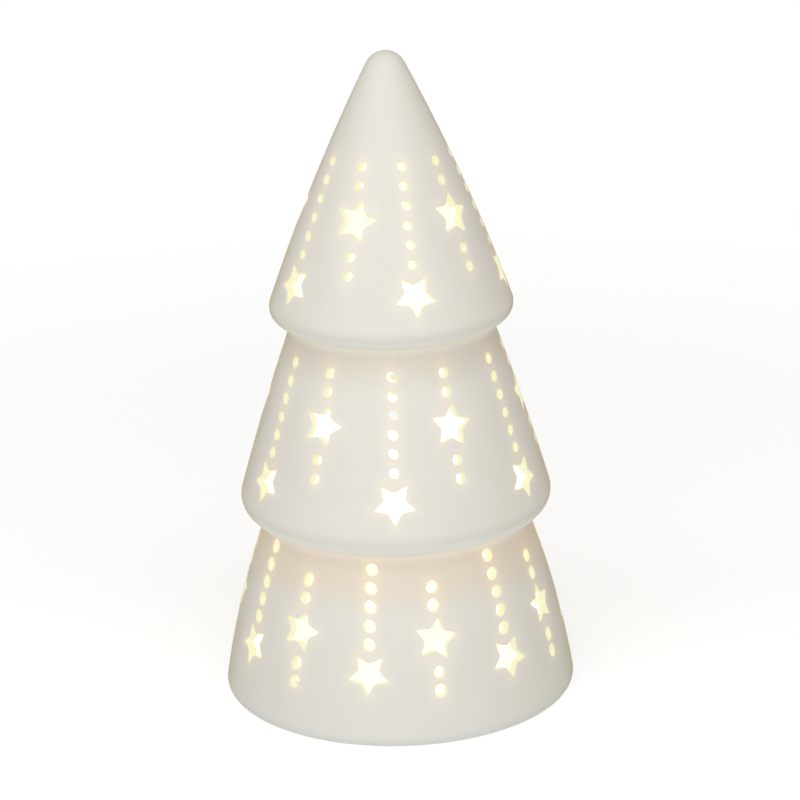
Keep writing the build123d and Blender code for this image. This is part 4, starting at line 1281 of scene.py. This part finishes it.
def seen_directly(graph):
    """1 for rays from the camera, off gloss or through glass, and 0 for rays that light a surface."""
    path = graph.add("LightPath").outputs
    shiny = graph.calc("MAXIMUM", path["Is Glossy Ray"], path["Is Transmission Ray"])
    return graph.calc("MAXIMUM", path["Is Camera Ray"], shiny)


def add_world(scene, stage):
    """A white background over a dimmer light from all round."""
    world = bpy.data.worlds.new("studio")
    graph = Graph(cleared(world))
    seen = seen_directly(graph)
    strength = graph.ranged(seen, 0.0, 1.0, stage.ambient, 1.0)
    tint = graph.mixed(seen, stage.ambient_tint, WHITE)
    background = graph.add("Background", {"Color": tint, "Strength": strength})
    graph.add("OutputWorld", {"Surface": background.outputs[0]})
    scene.world = world


def add_floor(stage):
    """A pale sheet that takes the shadow and fades out into the white background.

    From below it can be seen through, and it throws light back onto the underside of what stands on it.
    """
    material = bpy.data.materials.new("pale_floor")
    graph = Graph(cleared(material))
    fade = graph.smooth(graph.reach(graph.place()), *[part * stage.floor_radius for part in stage.floor_fade])
    clear = graph.calc("MAXIMUM", fade, graph.add("NewGeometry").outputs["Backfacing"])
    near = graph.calc("LESS_THAN", graph.add("LightPath").outputs["Ray Length"], stage.floor_skin)
    shown = graph.calc("MULTIPLY", seen_directly(graph), stage.floor_lift)
    thrown = graph.calc("MULTIPLY", near, stage.floor_return)
    matt = graph.add("BsdfDiffuse", {"Color": opaque(stage.floor_tone)})
    lift = graph.add("Emission", {"Color": opaque(WHITE), "Strength": graph.calc("MAXIMUM", shown, thrown)})
    solid = graph.add("AddShader", {0: matt.outputs[0], 1: lift.outputs[0]})
    glass = graph.add("BsdfTransparent")
    sheet = graph.add("MixShader", {0: clear, 1: solid.outputs[0], 2: glass.outputs[0]})
    graph.add("OutputMaterial", {"Surface": sheet.outputs[0]})
    side = stage.floor_radius * np.linspace(-1, 1, FLOOR_POINTS)
    x, y = np.meshgrid(side, side)
    mesh = grid_mesh("floor", [np.stack((x, y, np.full_like(x, -stage.floor_gap)), axis=-1)])
    mesh.materials.append(material)
    linked("floor", mesh)


class TREELIGHT_PT_sidebar(bpy.types.Panel):
    """Lists the steps that dress the tree light"""

    bl_idname = "TREELIGHT_PT_sidebar"
    bl_label = "Tree Light"
    bl_space_type = "VIEW_3D"
    bl_region_type = "UI"
    bl_category = "Tree Light"

    def draw(self, context):
        for step in STEPS:
            self.layout.operator(step.bl_idname)


STEPS = (
    TREELIGHT_OT_stage,
    TREELIGHT_OT_porcelain,
    TREELIGHT_OT_housing,
    TREELIGHT_OT_marks,
    TREELIGHT_OT_lamps,
    TREELIGHT_OT_power,
)
SETTINGS = {
    "tree_outline": TREELIGHT_PG_outline,
    "tree_piercing": TREELIGHT_PG_piercing,
    "tree_marks": TREELIGHT_PG_marks,
    "tree_finish": TREELIGHT_PG_finish,
    "tree_stage": TREELIGHT_PG_stage,
}


def register():
    for kind in (*SETTINGS.values(), *STEPS, TREELIGHT_PT_sidebar):
        bpy.utils.register_class(kind)
    for name, kind in SETTINGS.items():
        setattr(bpy.types.Scene, name, bpy.props.PointerProperty(type=kind))


def unregister():
    for name in SETTINGS:
        delattr(bpy.types.Scene, name)
    for kind in (TREELIGHT_PT_sidebar, *reversed(STEPS), *reversed(tuple(SETTINGS.values()))):
        bpy.utils.unregister_class(kind)


def main():
    register()
    bpy.ops.treelight.stage()
    bpy.ops.treelight.porcelain()
    bpy.ops.treelight.housing()
    bpy.ops.treelight.marks()
    bpy.ops.treelight.lamps()
    bpy.ops.treelight.power()


if __name__ == "__main__":
    main()
